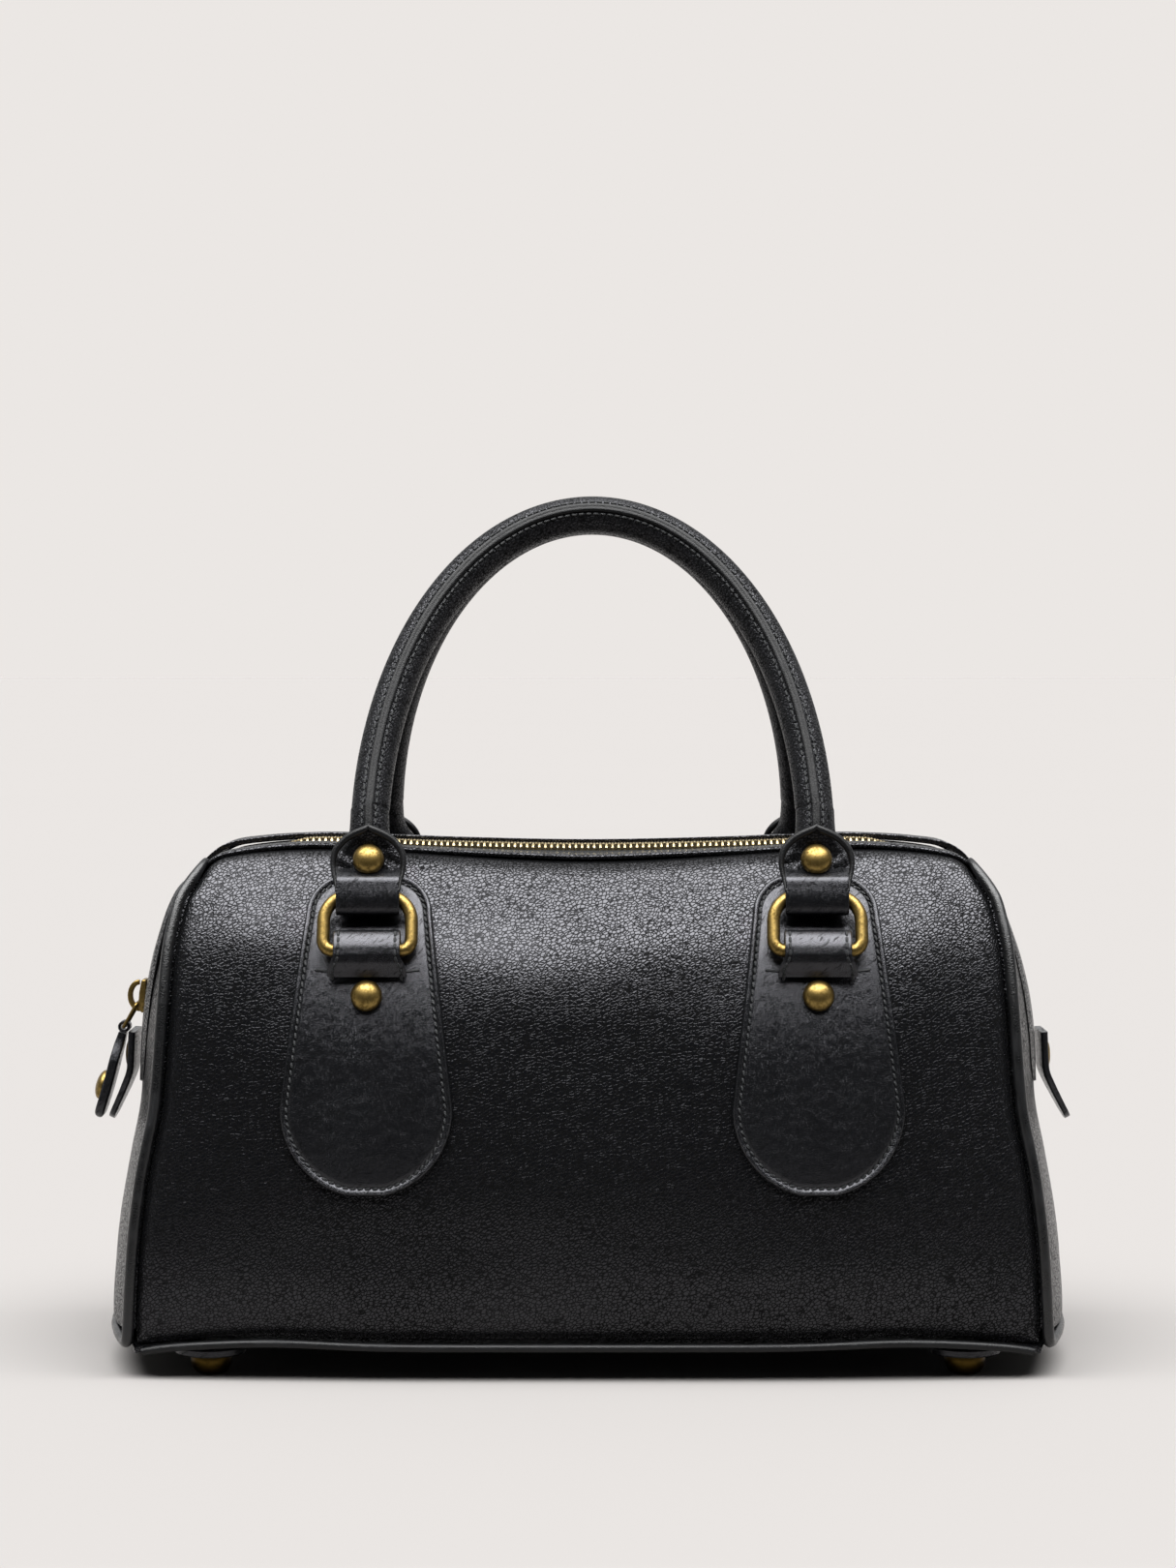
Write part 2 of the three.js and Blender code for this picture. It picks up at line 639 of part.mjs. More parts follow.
// Bands, rounded at their lower outer corners
function bandOuter(distance) {
  const toEnd = Math.min(distance, zipLength - distance);
  const left = Math.max(BAND_CORNER - toEnd, 0);
  return BAND_HALF - BAND_CORNER + Math.sqrt(BAND_CORNER * BAND_CORNER - left * left);
}
const bandSides = (distance) => {
  const outer = bandOuter(distance);
  return [BAND_INNER, (BAND_INNER + outer) / 2, outer];
};
const bandEnds = [0.15 * BAND_CORNER, 0.4 * BAND_CORNER];
const inBand = zipStations(bandEnds.at(-1), zipLength - bandEnds.at(-1));
const outBand = bandEnds.map((inset) => zipLength - inset).reverse();
const bandStations = [0, bandEnds[0], ...inBand, outBand[1], zipLength];
const tapeHigh = BAND_LIFT - FIT;
for (const { group, depth } of HALVES) {
  const band = zipStrip(bandStations, bandSides, BAND_LIFT, BAND_LIFT + BAND_WALL);
  put(group, `zip_band_${depth}`, band, leather());
  const tape = zipStrip(inBand, () => [CHAIN_HALF + FIT, TAPE_HALF], tapeHigh - TAPE_WALL, tapeHigh);
  put(group, `zip_tape_${depth}`, tape, cloth());
}

// The closed chain of teeth runs from the right end to the slider
const chainStations = zipStations(zipDistance(CHAIN_RIGHT_END), zipLength - zipDistance(CHAIN_LEFT_END));
const chain = zipStrip(chainStations, () => [-CHAIN_HALF, CHAIN_HALF], CHAIN_LOW, CHAIN_HIGH);
put(bag, "zip_chain", chain, brass());

// Round studs, standing on z = 0
function studGeometry(scale = 1) {
  const profile = [
    [0, 0],
    [0.9 * STUD_RADIUS, 0],
    [STUD_RADIUS, 0.16 * STUD_HIGH],
    [0.72 * STUD_RADIUS, 0.74 * STUD_HIGH],
    [0, STUD_HIGH],
  ];
  return turned(profile.map(([radius, height]) => [radius, height * scale]), 10);
}

function aim(mesh, point, direction) {
  mesh.position.copy(point);
  mesh.quaternion.setFromUnitVectors(Z_AXIS, direction);
}

// End tabs over the lower ends of the zip, with tails that flare away from the bag
const tabLevel = BAND_LIFT + BAND_WALL + FIT + TAB_WALL / 2;
const endFace = (height) => zipPoint(zipDistance(height), 0, 0);
function endTabPlaces(flare) {
  return END_TAB_ROUTE.map(({ out, height }) => {
    const held = Math.max(height, END_TAB_LEAVES);
    return [endFace(held).x + tabLevel + flare * out, height];
  });
}
for (const [group, side] of [[bag, "right"], [turnedRound, "left"]]) {
  const places = endTabPlaces(END_TAB_FLARE[side]);
  put(group, `end_tab_${side}`, strapAlong(places, () => END_TAB_WIDE, TAB_WALL, 10), leather());
  const stud = put(group, `end_tab_stud_${side}`, studGeometry(END_TAB_STUD_SCALE), brass());
  const faceX = endFace(END_TAB_STUD_HEIGHT).x + tabLevel + TAB_WALL / 2 + FIT;
  aim(stud, vec(faceX, 0, END_TAB_STUD_HEIGHT), X_AXIS);
}

// Slider with its open bridge, drawn with the bag's left to the front of the outline
function sliderGeometry() {
  const half = SLIDER_LONG / 2;
  const body = new THREE.Shape();
  body.moveTo(SLIDER_LOW, -half);
  body.lineTo(SLIDER_HIGH - SLIDER_NOSE.cut, -half);
  body.lineTo(SLIDER_HIGH, -half + SLIDER_NOSE.long);
  body.lineTo(SLIDER_HIGH - SLIDER_FALL, half);
  body.lineTo(SLIDER_LOW, half);
  const { out, halfDeep, halfLong, wire, wide } = BRIDGE;
  const bridge = new THREE.Shape();
  bridge.absellipse(out, 0, halfDeep, halfLong, BRIDGE_FOOT, BRIDGE_LIP, false);
  bridge.absellipse(out, 0, halfDeep - wire, halfLong - wire, BRIDGE_LIP, BRIDGE_FOOT, true);
  const joined = toSolid(extrudeAcross(body, SLIDER_WIDE)).add(toSolid(extrudeAcross(bridge, wide)));
  return toGeometry(joined);
}
const sliderSeat = zipPoint(zipLength - zipDistance(SLIDER_LEVEL), 0, 0);
const slider = put(bag, "zip_slider", sliderGeometry(), brass());
slider.position.copy(sliderSeat);
slider.rotation.z = -Math.PI / 2;

// Puller: a folded strap on a wire ring that hangs from the bridge
const pullPlaces = PULL_ROUTE.map(({ along, height }) => [along, height]);
const pullPath = new THREE.CatmullRomCurve3(pullPlaces.map(([x, z]) => vec(x, 0, z)));
const eye = pullPath.getPoint(0);
const pullWidth = (place) =>
  lerp(PULL_NECK_WIDE, PULL_WIDE, smoothstep(place, PULL_SHOULDER.from, PULL_SHOULDER.to));
function pullGeometry() {
  const strap = toSolid(strapAlong(pullPlaces, pullWidth, PULL_WALL, 8));
  const fold = new THREE.CylinderGeometry(PULL_FOLD, PULL_FOLD, PULL_NECK_WIDE, 12);
  const hole = new THREE.CylinderGeometry(PULL_EYE, PULL_EYE, 2 * PULL_NECK_WIDE, 10);
  const place = new THREE.Matrix4().makeTranslation(eye.x, eye.y, eye.z);
  const joined = strap.add(toSolid(fold.applyMatrix4(place)));
  return toGeometry(joined.subtract(toSolid(hole.applyMatrix4(place))));
}
put(bag, "pull_strap", pullGeometry(), leather());
const pullRun = pullPath.getTangent(PULL_STUD_PLACE);
const pullOut = vec(pullRun.z, 0, -pullRun.x);
const pullSeat = pullPath.getPoint(PULL_STUD_PLACE).addScaledVector(pullOut, PULL_WALL / 2 + FIT);
aim(put(bag, "pull_stud", studGeometry(PULL_STUD_SCALE), brass()), pullSeat, pullOut);

// Points round a frame with straight bars, its lower bar centred on the origin
function frameOutline(wide, high, lowCorner, topCorner) {
  const corners = [
    { x: wide / 2 - lowCorner, y: lowCorner, radius: lowCorner, from: -0.5 },
    { x: wide / 2 - topCorner, y: high - topCorner, radius: topCorner, from: 0 },
    { x: topCorner - wide / 2, y: high - topCorner, radius: topCorner, from: 0.5 },
    { x: lowCorner - wide / 2, y: lowCorner, radius: lowCorner, from: 1 },
  ];
  return corners.flatMap(({ x, y, radius, from }) =>
    [0, 1, 2, 3].map((third) => {
      const angle = Math.PI * (from + third / 6);
      return { x: x + radius * Math.cos(angle), y: y + radius * Math.sin(angle) };
    }),
  );
}

// Wire ring between the bridge and the puller's eye
const hang = sliderSeat.clone().add(vec(-PULL_RING_HANG.out, 0, PULL_RING_HANG.up)).sub(eye);
const hangHigh = hang.length();
hang.normalize();
const pullRingPoints = frameOutline(PULL_RING_WIDE, hangHigh, PULL_RING_CORNER, PULL_RING_CORNER).map(
  ({ x, y }) => eye.clone().addScaledVector(hang, y).add(vec(0, x, 0)),
);
const hangSide = hang.clone().cross(vec(0, 1, 0)).normalize();
put(bag, "pull_ring", wireRing(pullRingPoints, hangSide, PULL_RING_WIRE / 2, 5), brass());

// Patches: round below, tapering to a round-cornered top, lying on the panel
const patchCentre = PATCH_LOW + Math.sqrt(PATCH_ROUND ** 2 - PATCH_TIP_HALF ** 2);
function patchHalf(height) {
  if (height < patchCentre) return Math.sqrt(PATCH_ROUND ** 2 - (patchCentre - height) ** 2);
  const taper = lerp(PATCH_ROUND, PATCH_TOP_HALF, (height - patchCentre) / (PATCH_TOP - patchCentre));
  const left = Math.max(PATCH_CORNER - (PATCH_TOP - height), 0);
  return taper - PATCH_CORNER + Math.sqrt(PATCH_CORNER ** 2 - left ** 2);
}
function patchPoint(a, b, centreX) {
  const height = lerp(PATCH_LOW, PATCH_TOP, 0.5 - 0.5 * Math.cos(Math.PI * b));
  const { point, normal } = frontAt(centreX + (2 * a - 1) * patchHalf(height), height);
  return point.addScaledVector(normal, SEAT + PATCH_WALL);
}

// The ring's lower bar lies in the loop, and the handle swings about it
const loopInner = RING_WIRE / 2 + RING_PLAY;
const loopOuter = loopInner + LOOP_WALL;
const seat = frontAt(STATION_X, HINGE_SEAT_HEIGHT);
const seatUp = vec(0, seat.normal.z, -seat.normal.y).normalize();
const hingeOut = SEAT + PATCH_WALL + FIT + loopOuter;
const hinge = vec(0, seat.point.y, seat.point.z).addScaledVector(vec(0, -seatUp.z, seatUp.y), hingeOut);

// A loop of leather round the ring's lower bar, both its ends sewn down under the bar
function loopGeometry() {
  const outline = new THREE.Shape();
  outline.moveTo(2 * LOOP_WALL - loopOuter, -LOOP_DOWN);
  outline.absarc(0, 0, loopOuter, LOOP_OPEN, Math.PI, false);
  outline.lineTo(-loopOuter, -LOOP_DOWN);
  const hole = new THREE.Path();
  hole.moveTo(-LOOP_HOLE.frontIn * loopInner, -LOOP_HOLE.frontDown * LOOP_DOWN);
  hole.absarc(0, 0, loopInner, LOOP_OPEN, Math.PI, false);
  hole.lineTo(-loopInner, -LOOP_HOLE.backDown * LOOP_DOWN);
  outline.holes.push(hole);
  return extrudeAcross(outline, LOOP_WIDE);
}

// The handle's tab turns under the ring's upper bar
function tabGeometry() {
  const outer = loopInner + STRAP_WALL;
  const outline = new THREE.Shape();
  outline.moveTo(-TAB_TOP_HALF, TAB_TOP);
  outline.lineTo(-outer, RING_HIGH + TAB_OVER_BAR);
  outline.absarc(0, TAB_FOLD_LOW, outer, Math.PI, 2 * Math.PI, false);
  outline.lineTo(outer, RING_HIGH + TAB_OVER_BAR);
  outline.lineTo(TAB_TOP_HALF, TAB_TOP);
  const hole = new THREE.Path();
  hole.absarc(0, TAB_FOLD_LOW, loopInner, Math.PI, 2 * Math.PI, false);
  hole.absarc(0, RING_HIGH, loopInner, 0, Math.PI, false);
  outline.holes.push(hole);
  return extrudeAcross(outline, TAB_WIDE);
}

// One section of the handle: a twelve-sided oval with a seam ridge along the front of the tube
function handleSection({ x, up, run, halfWide, halfDeep, back, ridge }) {
  return [...Array(12).keys()].map((k) => {
    const angle = (Math.PI * k) / 6;
    const wide = halfWide * Math.cos(angle);
    const front = (halfDeep + (k === 3 ? ridge : 0)) * Math.sin(angle);
    return vec(x + wide * run.y, back - front, up - wide * run.x);
  });
}

function handleGeometry() {
  const neck = NECK.map((row) => ({ ...row, x: -STATION_X, run: new THREE.Vector2(0, 1), ridge: 0 }));
  const steps = 16;
  const arch = [...Array(steps + 1).keys()].map((k) => {
    const angle = lerp(Math.PI - HANDLE_START, HANDLE_START, k / steps);
    const run = new THREE.Vector2(STATION_X * Math.sin(angle), -HANDLE_RISE * Math.cos(angle)).normalize();
    return {
      x: STATION_X * Math.cos(angle),
      up: HANDLE_BASE + HANDLE_RISE * Math.sin(angle),
      run,
      halfWide: HANDLE_RADIUS,
      halfDeep: HANDLE_RADIUS,
      back: 0,
      ridge: HANDLE_RIDGE,
    };
  });
  const farNeck = neck.map((row) => ({ ...row, x: STATION_X, run: new THREE.Vector2(0, -1) })).reverse();
  const sections = [...neck, ...arch, ...farNeck].map(handleSection);
  let solid = toSolid(loft(sections));
  for (const { sign } of SIDES) {
    solid = solid.add(toSolid(tabGeometry().translate(sign * STATION_X, 0, 0)));
  }
  return toGeometry(solid);
}

// The handles lean in until their tubes almost meet over the zip
const handleReach = HANDLE_BASE + HANDLE_RISE;
const handleLean = Math.asin((-hinge.y - HANDLE_RADIUS - HANDLES_APART / 2) / handleReach);
const ringOutline = frameOutline(RING_WIDE, RING_HIGH, RING_LOW_CORNER, RING_TOP_CORNER);
const ringPoints = ringOutline.map(({ x, y }) => vec(x, 0, y));
const neckAtStud = rowAt(NECK, placeWhere((place) => rowAt(NECK, place).up, HANDLE_STUD_UP));
for (const { group, depth, shift, sides } of HALVES) {
  const swing = new THREE.Group();
  swing.position.set(shift, hinge.y, hinge.z);
  swing.rotation.x = -handleLean;
  group.add(swing);
  put(swing, `handle_${depth}`, handleGeometry(), leather());
  for (const { side, sign } of SIDES) {
    const place = `${depth}_${sides[side]}`;
    const stationX = sign * STATION_X + shift;
    const patch = wallFrom((a, b) => patchPoint(a, b, stationX), 4, 10, PATCH_WALL);
    put(group, `patch_${place}`, patch, leather());
    const loop = put(group, `ring_loop_${place}`, loopGeometry(), leather());
    loop.position.set(stationX, hinge.y, hinge.z);
    loop.rotation.x = -Math.atan2(seatUp.y, seatUp.z);
    const stud = put(group, `patch_stud_${place}`, studGeometry(), brass());
    const { point, normal } = frontAt(stationX, PATCH_STUD_HEIGHT);
    aim(stud, point.addScaledVector(normal, SEAT + PATCH_WALL + FIT), normal);
    const ring = put(swing, `ring_${place}`, wireRing(ringPoints, vec(0, 1, 0), RING_WIRE / 2, 6), brass());
    ring.position.x = sign * STATION_X;
    const handleStud = put(swing, `handle_stud_${place}`, studGeometry(), brass());
    const front = neckAtStud.halfDeep - neckAtStud.back + FIT;
    aim(handleStud, vec(sign * STATION_X, -front, HANDLE_STUD_UP), vec(0, -1, 0));
  }
}

// Dome feet with a small flat to stand on, each under a leather washer
const footProfile = [
  [0, 0],
  [FOOT_FLAT, 0],
  [0.88 * FOOT_RADIUS, 0.28 * FOOT_HIGH],
  [FOOT_RADIUS, 0.72 * FOOT_HIGH],
  [0.93 * FOOT_RADIUS, FOOT_HIGH],
  [0, FOOT_HIGH],
];
for (const { group, depth, sides } of HALVES) {
  for (const { side, sign } of SIDES) {
    const place = `${depth}_${sides[side]}`;
    const foot = put(group, `foot_${place}`, turned(footProfile, 12), brass());
    foot.position.set(sign * FOOT_X, -FOOT_Y, 0);
    const disc = new THREE.CylinderGeometry(WASHER_RADIUS, WASHER_RADIUS, WASHER_WALL, 12);
    const washer = put(group, `foot_washer_${place}`, disc.rotateX(Math.PI / 2), leather());
    washer.position.set(sign * FOOT_X, -FOOT_Y, FOOT_HIGH + FIT + WASHER_WALL / 2);
  }
}

export default bag;
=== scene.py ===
"""A black zip-top leather satchel with two rolled handles on brass rings, standing on four brass feet.

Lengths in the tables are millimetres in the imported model's own frame: X along the bag, the front
towards -Y, +Z up. The sizes in the sidebar are metres.
"""
import math

import bmesh
import bpy
import numpy as np
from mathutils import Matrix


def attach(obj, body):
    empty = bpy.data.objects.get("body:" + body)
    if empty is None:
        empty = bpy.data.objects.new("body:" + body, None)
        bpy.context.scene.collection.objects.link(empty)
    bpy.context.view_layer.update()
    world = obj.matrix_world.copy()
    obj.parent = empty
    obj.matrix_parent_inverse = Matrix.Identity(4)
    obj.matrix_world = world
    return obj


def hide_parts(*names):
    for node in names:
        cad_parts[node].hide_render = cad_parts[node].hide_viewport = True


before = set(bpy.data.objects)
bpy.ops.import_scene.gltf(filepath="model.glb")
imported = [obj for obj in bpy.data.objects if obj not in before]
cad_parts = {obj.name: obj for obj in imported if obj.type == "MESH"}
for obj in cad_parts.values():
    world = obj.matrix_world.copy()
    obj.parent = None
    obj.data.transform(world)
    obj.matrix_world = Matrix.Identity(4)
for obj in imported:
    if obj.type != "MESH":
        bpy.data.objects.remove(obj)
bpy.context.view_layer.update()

bl_info = {
    "name": "Leather Satchel",
    "version": (1, 0, 0),
    "blender": (4, 5, 0),
    "location": "View3D > Sidebar > Satchel",
    "description": "Builds a zip-top leather satchel piece by piece",
    "category": "Add Mesh",
}

MM = 0.001
SHARP = math.radians(42)
X_AXIS, Y_AXIS, Z_AXIS = np.eye(3)


def table(columns, *rows):
    """Named columns of numbers, one row for each level or place."""
    return dict(zip(columns.split(), np.array(rows, float).T))


# Leather walls and gaps
FIT = 0.3
SEAT = 0.5
PANEL_WALL = 2.0
BAND_WALL = 1.8
PATCH_WALL = 1.8
LOOP_WALL = 1.6
STRAP_WALL = 1.9
TAB_WALL = 2.4
PULL_WALL = 3.4

# The body, a row for each level from the floor up
BODY = table(
    "height half_depth half_width end_crown edge_inset",
    (13.3, 73.0, 155.0, 10.0, 6.0),
    (32.0, 77.0, 154.0, 11.6, 9.0),
    (50.0, 77.5, 152.7, 11.2, 10.0),
    (71.0, 76.5, 150.0, 10.2, 11.0),
    (90.0, 74.5, 146.3, 10.4, 11.0),
    (114.0, 71.0, 144.5, 11.2, 11.0),
    (131.0, 66.5, 143.5, 9.5, 10.0),
    (146.0, 60.0, 142.3, 6.0, 8.5),
    (160.0, 51.0, 139.3, 3.0, 6.0),
    (167.0, 45.6, 136.6, 1.4, 4.0),
    (171.2, 41.8, 134.2, 0.5, 2.4),
    (173.8, 38.2, 132.4, 0.1, 1.0),
    (174.8, 35.0, 131.5, 0.0, 0.5),
    (175.1, 30.0, 131.3, 0.0, 0.0),
    (175.3, 14.0, 131.0, 0.0, 0.0),
)
BODY_FOOT = {name: column[0] for name, column in BODY.items()}
EDGE_POWER = 3.5
SADDLE_DEPTH, SADDLE_HALF_SPAN, SADDLE_FROM = 2.2, 95, 120
CORNER_DROP, CORNER_AT, CORNER_FROM, CORNER_POWER = 3.3, 133, 158, 10
TOP_HEIGHT = 175
FOOT_LIFT, FOOT_LIFT_SPREAD, FOOT_LIFT_AT, FOOT_LIFT_TOP = 1.3, 26, 106, 45
TOE_DROP, TOE_POWER, TOE_SIDE_POWER = 2.3, 14, 4

# Soft dents and swells of the leather: middle, spread each way and how far it stands out
SLUMP = table(
    "along height wide high out",
    (-118, 148, 16, 16, 0.9),
    (-98, 128, 20, 14, -0.7),
    (-28, 154, 26, 9, -0.9),
    (24, 147, 20, 12, 0.9),
    (48, 133, 18, 16, -0.6),
    (112, 141, 12, 22, 0.8),
    (128, 120, 10, 26, -0.7),
    (-8, 112, 34, 10, -0.5),
    (-62, 44, 60, 14, -0.8),
    (70, 36, 46, 12, 0.6),
    (10, 62, 50, 18, 0.5),
)
# The dents fade out by the end seams, the base and the zip
SLUMP_CLEAR, SLUMP_FULL_END, SLUMP_FULL_BASE, SLUMP_TOP = 2, 30, 20, (160, 172)

# Points across and up each wall, and how much closer together the columns lie by the seams
PANEL_GRID, GUSSET_GRID, BASE_GRID, CROWDING = (150, 100), (65, 96), (90, 44), 0.25

# Corded seams and the base
END_PIPING_RADIUS = 2.0
BASE_PIPING_RADIUS = 1.4
END_SEAM = 2.45
BASE_SEAM = 1.85
BASE_SEAM_HEIGHT = 11.6
END_SEAM_FOOT = table(
    "across height",
    (0, 12.1),
    (0.33, 12.1),
    (0.67, 12.1),
    (0.94, 12.1),
    (0.985, 12.9),
    (1.002, 14.6),
)
SEAM_TURN, END_PIPING_TUCK, END_PIPING_TUCKED, END_PIPING_TOP = 18, 166, 0.6, 174.9
GUSSET_LOW, GUSSET_TOP = 14.6, 170.5
GUSSET_CORNER, GUSSET_CORNER_TOP, GUSSET_CORNER_POWER = 2.4, 32, 6
GUSSET_FLARE, GUSSET_FLARE_TOP = 1.5, 36
BASE_LOW, BASE_EDGE_RISE, BASE_EDGE_POWER = 9.8, 0.9, 8
SEAM_ROLL, SEAM_ROLL_DEPTH, GUSSET_ROLL = 5.5, 1.2, 0.7
BASE_ROLL, BASE_ROLL_DEPTH = 12.0, 2.8
# A seam allowance from the seam inwards: how far past the seam, and how deep behind the face
SEAM_ALLOWANCE = ((0.6, 1.0), (1.0, 4.5))

# The zip over the top and down both ends
ZIP_TOP = table("along height", (0, 175.8), (50, 176.7), (95, 178.0), (117, 176.3), (128, 174.0))
ZIP_END_LEVELS = np.array([170, 164, 156, 147, 138, 128, 118, 107, 96.0])
BAND_HALF, BAND_INNER, BAND_LIFT, BAND_CORNER = 35, 5.5, 0.9, 10
BAND_DROP_MIDDLE, BAND_DROP_HANDLES, BAND_DROP_CORNER, BAND_CORNER_ALONG = 3.1, 1.1, 0.2, 130
BAND_TURN_LOW, BAND_TURN_HIGH = 158, 171
BAND_EDGE_LOW, BAND_EDGE_SOFT, BAND_EDGE_LEAST = 0.1, 0.2, 0.06
BAND_INNER_EDGE = {"front": 0.6, "back": 1.8}
# Over the top the front band lies flat: how far its face is above the zip line
BAND_FRONT = table("along level", (0, -0.8), (50, 0.3), (95, 1.2), (117, 1.1), (130, 0.6))
# The band is pressed flat down both ends: its share of full thickness there, and the heights between
BAND_FLAT, BAND_FLAT_RIGHT, BAND_FLAT_LEFT = 0.3, (160, 173), (112, 168)
NOTCH_HALF, NOTCH_LOW = 30, 99
TAPE_HALF, TAPE_WALL, TAPE_END = 13, 0.8, 4
CHAIN_HALF, CHAIN_SUNK, CHAIN_SUNK_ENDS, CHAIN_SUNK_AT = 2.9, 1.5, 3.2, (97, 109)
CHAIN_RIGHT_END, CHAIN_LEFT_END = 115, 130.5
# One tooth, from its foot on the tape over its neck to a wider head past the middle
TOOTH = table(
    "side half_along low high",
    (CHAIN_HALF, 0.5, -0.3, 1.6),
    (1.9, 0.46, -0.4, 2.8),
    (0.9, 0.42, -0.4, 3.2),
    (0.1, 0.66, -0.4, 3.2),
    (-0.5, 0.52, -0.2, 2.8),
)

# Handle stations
STATION_X, STATION_SHIFT = 75.6, 1.5
PATCH_LOW, PATCH_TOP, PATCH_ROUND = 63.2, 168, 29.2
PATCH_TOP_HALF, PATCH_CORNER, PATCH_TIP_HALF, PATCH_MIDDLE_DROP = 20, 11, 6, 4
PATCH_STITCH_IN, PATCH_SUNK, PATCH_EDGE, PATCH_SWELL, PATCH_SWELL_IN = 2.6, 0.15, 0.9, 0.25, 9
PATCH_RIM, PATCH_RIM_SPREAD, PATCH_GROOVE, PATCH_GROOVE_SPREAD = 0.15, 0.5, 0.6, 0.6
# Where a patch's face is drawn: distances in from its edge, then shares of what is left
PATCH_STEPS = (0, 0.12, 0.3, 0.55, 0.9, 1.3, 1.7, 2.0, 2.3, 2.6, 2.9, 3.2, 3.6, 4.5, 6.0, 8.0)
PATCH_SHARES = (0.86, 0.7, 0.52, 0.34, 0.16, 0.0)
RING_WIRE, RING_WIDE, RING_HIGH = 4.4, 29.6, 19.5
RING_LOW_CORNER, RING_TOP_CORNER, RING_PLAY = 3.6, 9.2, 0.4
LOOP_WIDE, LOOP_FLARE, LOOP_DOWN, LOOP_OPEN, LOOP_TALL = 22.4, 26.5, 7.4, -0.04 * math.pi, 1.9
LOOP_FOOT = table("front up", (3.0, -2.6), (1.9, -4.7), (0.0, -6.5), (-2.4, -8.3))
LOOP_FLARE_FROM, LOOP_THIN, LOOP_STITCH_IN, LOOP_STITCH_FROM = 2.5, 0.6, 1.7, 38
# A short stitch by each lower corner of a loop: beside the loop, and above the patch stud
LOOP_SLIT = table("beside up", (0.6, 8.0), (3.4, 8.3))
HINGE_SEAT_HEIGHT = 142
PATCH_STUD_HEIGHT, PATCH_STUD_LIFT = 128.8, 0.15
STUD_RADIUS, STUD_HIGH, STUD_COLLAR, STUD_POST, STUD_FOOT = 5.3, 4.6, 0.14, 0.5, 0.93
# How far the thread's middle stands above the leather
STITCH_LIFT = {"patch": 0.12, "loop": 0.02, "slit": 0.2, "handle": 0.05}

# Handles
HANDLE_BASE, HANDLE_RISE, HANDLE_START = 40.8, 119, 0.08
HANDLE_RADIUS, HANDLE_RIDGE, HANDLE_SEAM_HALF, HANDLE_STITCH_OUT = 6.5, 0.9, 1.6, 0.7
# Half of the raised seam's section from its edge to its middle, as shares of its half width and height
HANDLE_SEAM = table("wide rise", (1.0, -0.6), (1.0, 0.55), (0.85, 0.9), (0.45, 1.0), (0.05, 0.78))
HANDLES_APART = 0.6
HANDLE_STUD_UP, HANDLE_STUD_SUNK, HANDLE_STUD_POST = 31.4, 0.3, 2.6
NECK = table(
    "up half_wide half_deep back",
    (24.0, 10.5, 2.5, 0.0),
    (27.5, 11.3, 2.6, 0.0),
    (31.3, 11.8, 3.2, 0.8),
    (35.0, 10.8, 4.2, 1.4),
    (38.4, 8.4, 5.4, 1.0),
    (41.8, 6.9, 6.2, 0.3),
    (50.3, 6.5, 6.5, 0.0),
)
CUP_DEPTH, CUP_LOW, CUP_HIGH, CUP_APEX = 2.0, 25.3, 38.8, 41.2
# Folds that run in towards the stud: height, number, twist, and the distances where they rise and fall
PUCKER, PUCKER_FOLDS, PUCKER_TWIST, PUCKER_RISE, PUCKER_FALL = 0.5, 9, 0.6, (4, 7), (10, 14)
# A cup's rolled lip, from the apex out round the stud and down the tab's side
LIP_RADIUS = 1.25
LIP_ROUTE = table(
    "wide up front",
    (-0.4, 42.0, 6.6),
    (1.6, 40.8, 6.4),
    (4.6, 39.6, 5.8),
    (8.4, 37.4, 4.6),
    (11.0, 34.2, 3.7),
    (11.9, 30.4, 3.1),
    (11.6, 26.6, 2.8),
    (10.8, 23.0, 3.0),
    (10.3, 19.8, 3.9),
)
# The handle's flat end: how it swells out below the stud, and the fold under the ring's upper bar
TAB_WIDE, TAB_FOLD_TOP, TAB_FOLD_LOW, TAB_FOLD_HALF = 21.4, 23.6, 13.5, 3.7
TAB_FLARE, TAB_FLARE_AT = 0.6, (22, 30)
TAB_SWELL = table("front up", (-0.4, 28.4), (0.7, 27.2), (1.9, 26.1), (2.9, 24.9))

# Zip ends and puller
END_TAB_WIDE, END_TAB_TAIL_WIDE, END_TAB_TAPER = 22, 17, (0.45, 0.95)
# Rounded tips: where the rounding starts along a strap, and its span
END_TAB_TIP, END_TAB_THIN = (0.88, 0.125), 0.85
END_TAB_ROUTE = table(
    "out height",
    (0.0, 111.5),
    (0.0, 103.0),
    (0.4, 97.5),
    (2.4, 92.5),
    (5.3, 86.5),
    (8.3, 80.6),
)
END_TAB_FLARE = {"right": 1.06, "left": 0.92}
END_TAB_STUD_HEIGHT, END_TAB_STUD_SCALE = 102.5, 0.36
PULL_ROUTE = table("along height", (-163.6, 112.6), (-166.2, 103.5), (-169.4, 91.5), (-172.9, 80.5))
PULL_WIDE, PULL_NECK_WIDE, PULL_EYE, PULL_FOLD, PULL_SPLIT = 13, 7, 1.1, 2.1, 0.12
PULL_TIP, PULL_TIP_THIN, PULL_NECK_THIN = (0.8, 0.205), (0.93, 0.075), 0.8
PULL_STUD_PLACE, PULL_STUD_SCALE = 0.67, 0.6
SLIDER_LEVEL, SLIDER_LONG, SLIDER_WIDE, SLIDER_LOW, SLIDER_HIGH = 123.5, 11.6, 8.6, 1.0, 3.9
BRIDGE_OUT, BRIDGE_DEEP, BRIDGE_LONG, BRIDGE_WIRE, BRIDGE_WIDE = 3.8, 4.2, 5.6, 1.8, 3.2
PULL_RING_WIRE, PULL_RING_WIDE, PULL_RING_CORNER = 1.2, 9.4, 1.1
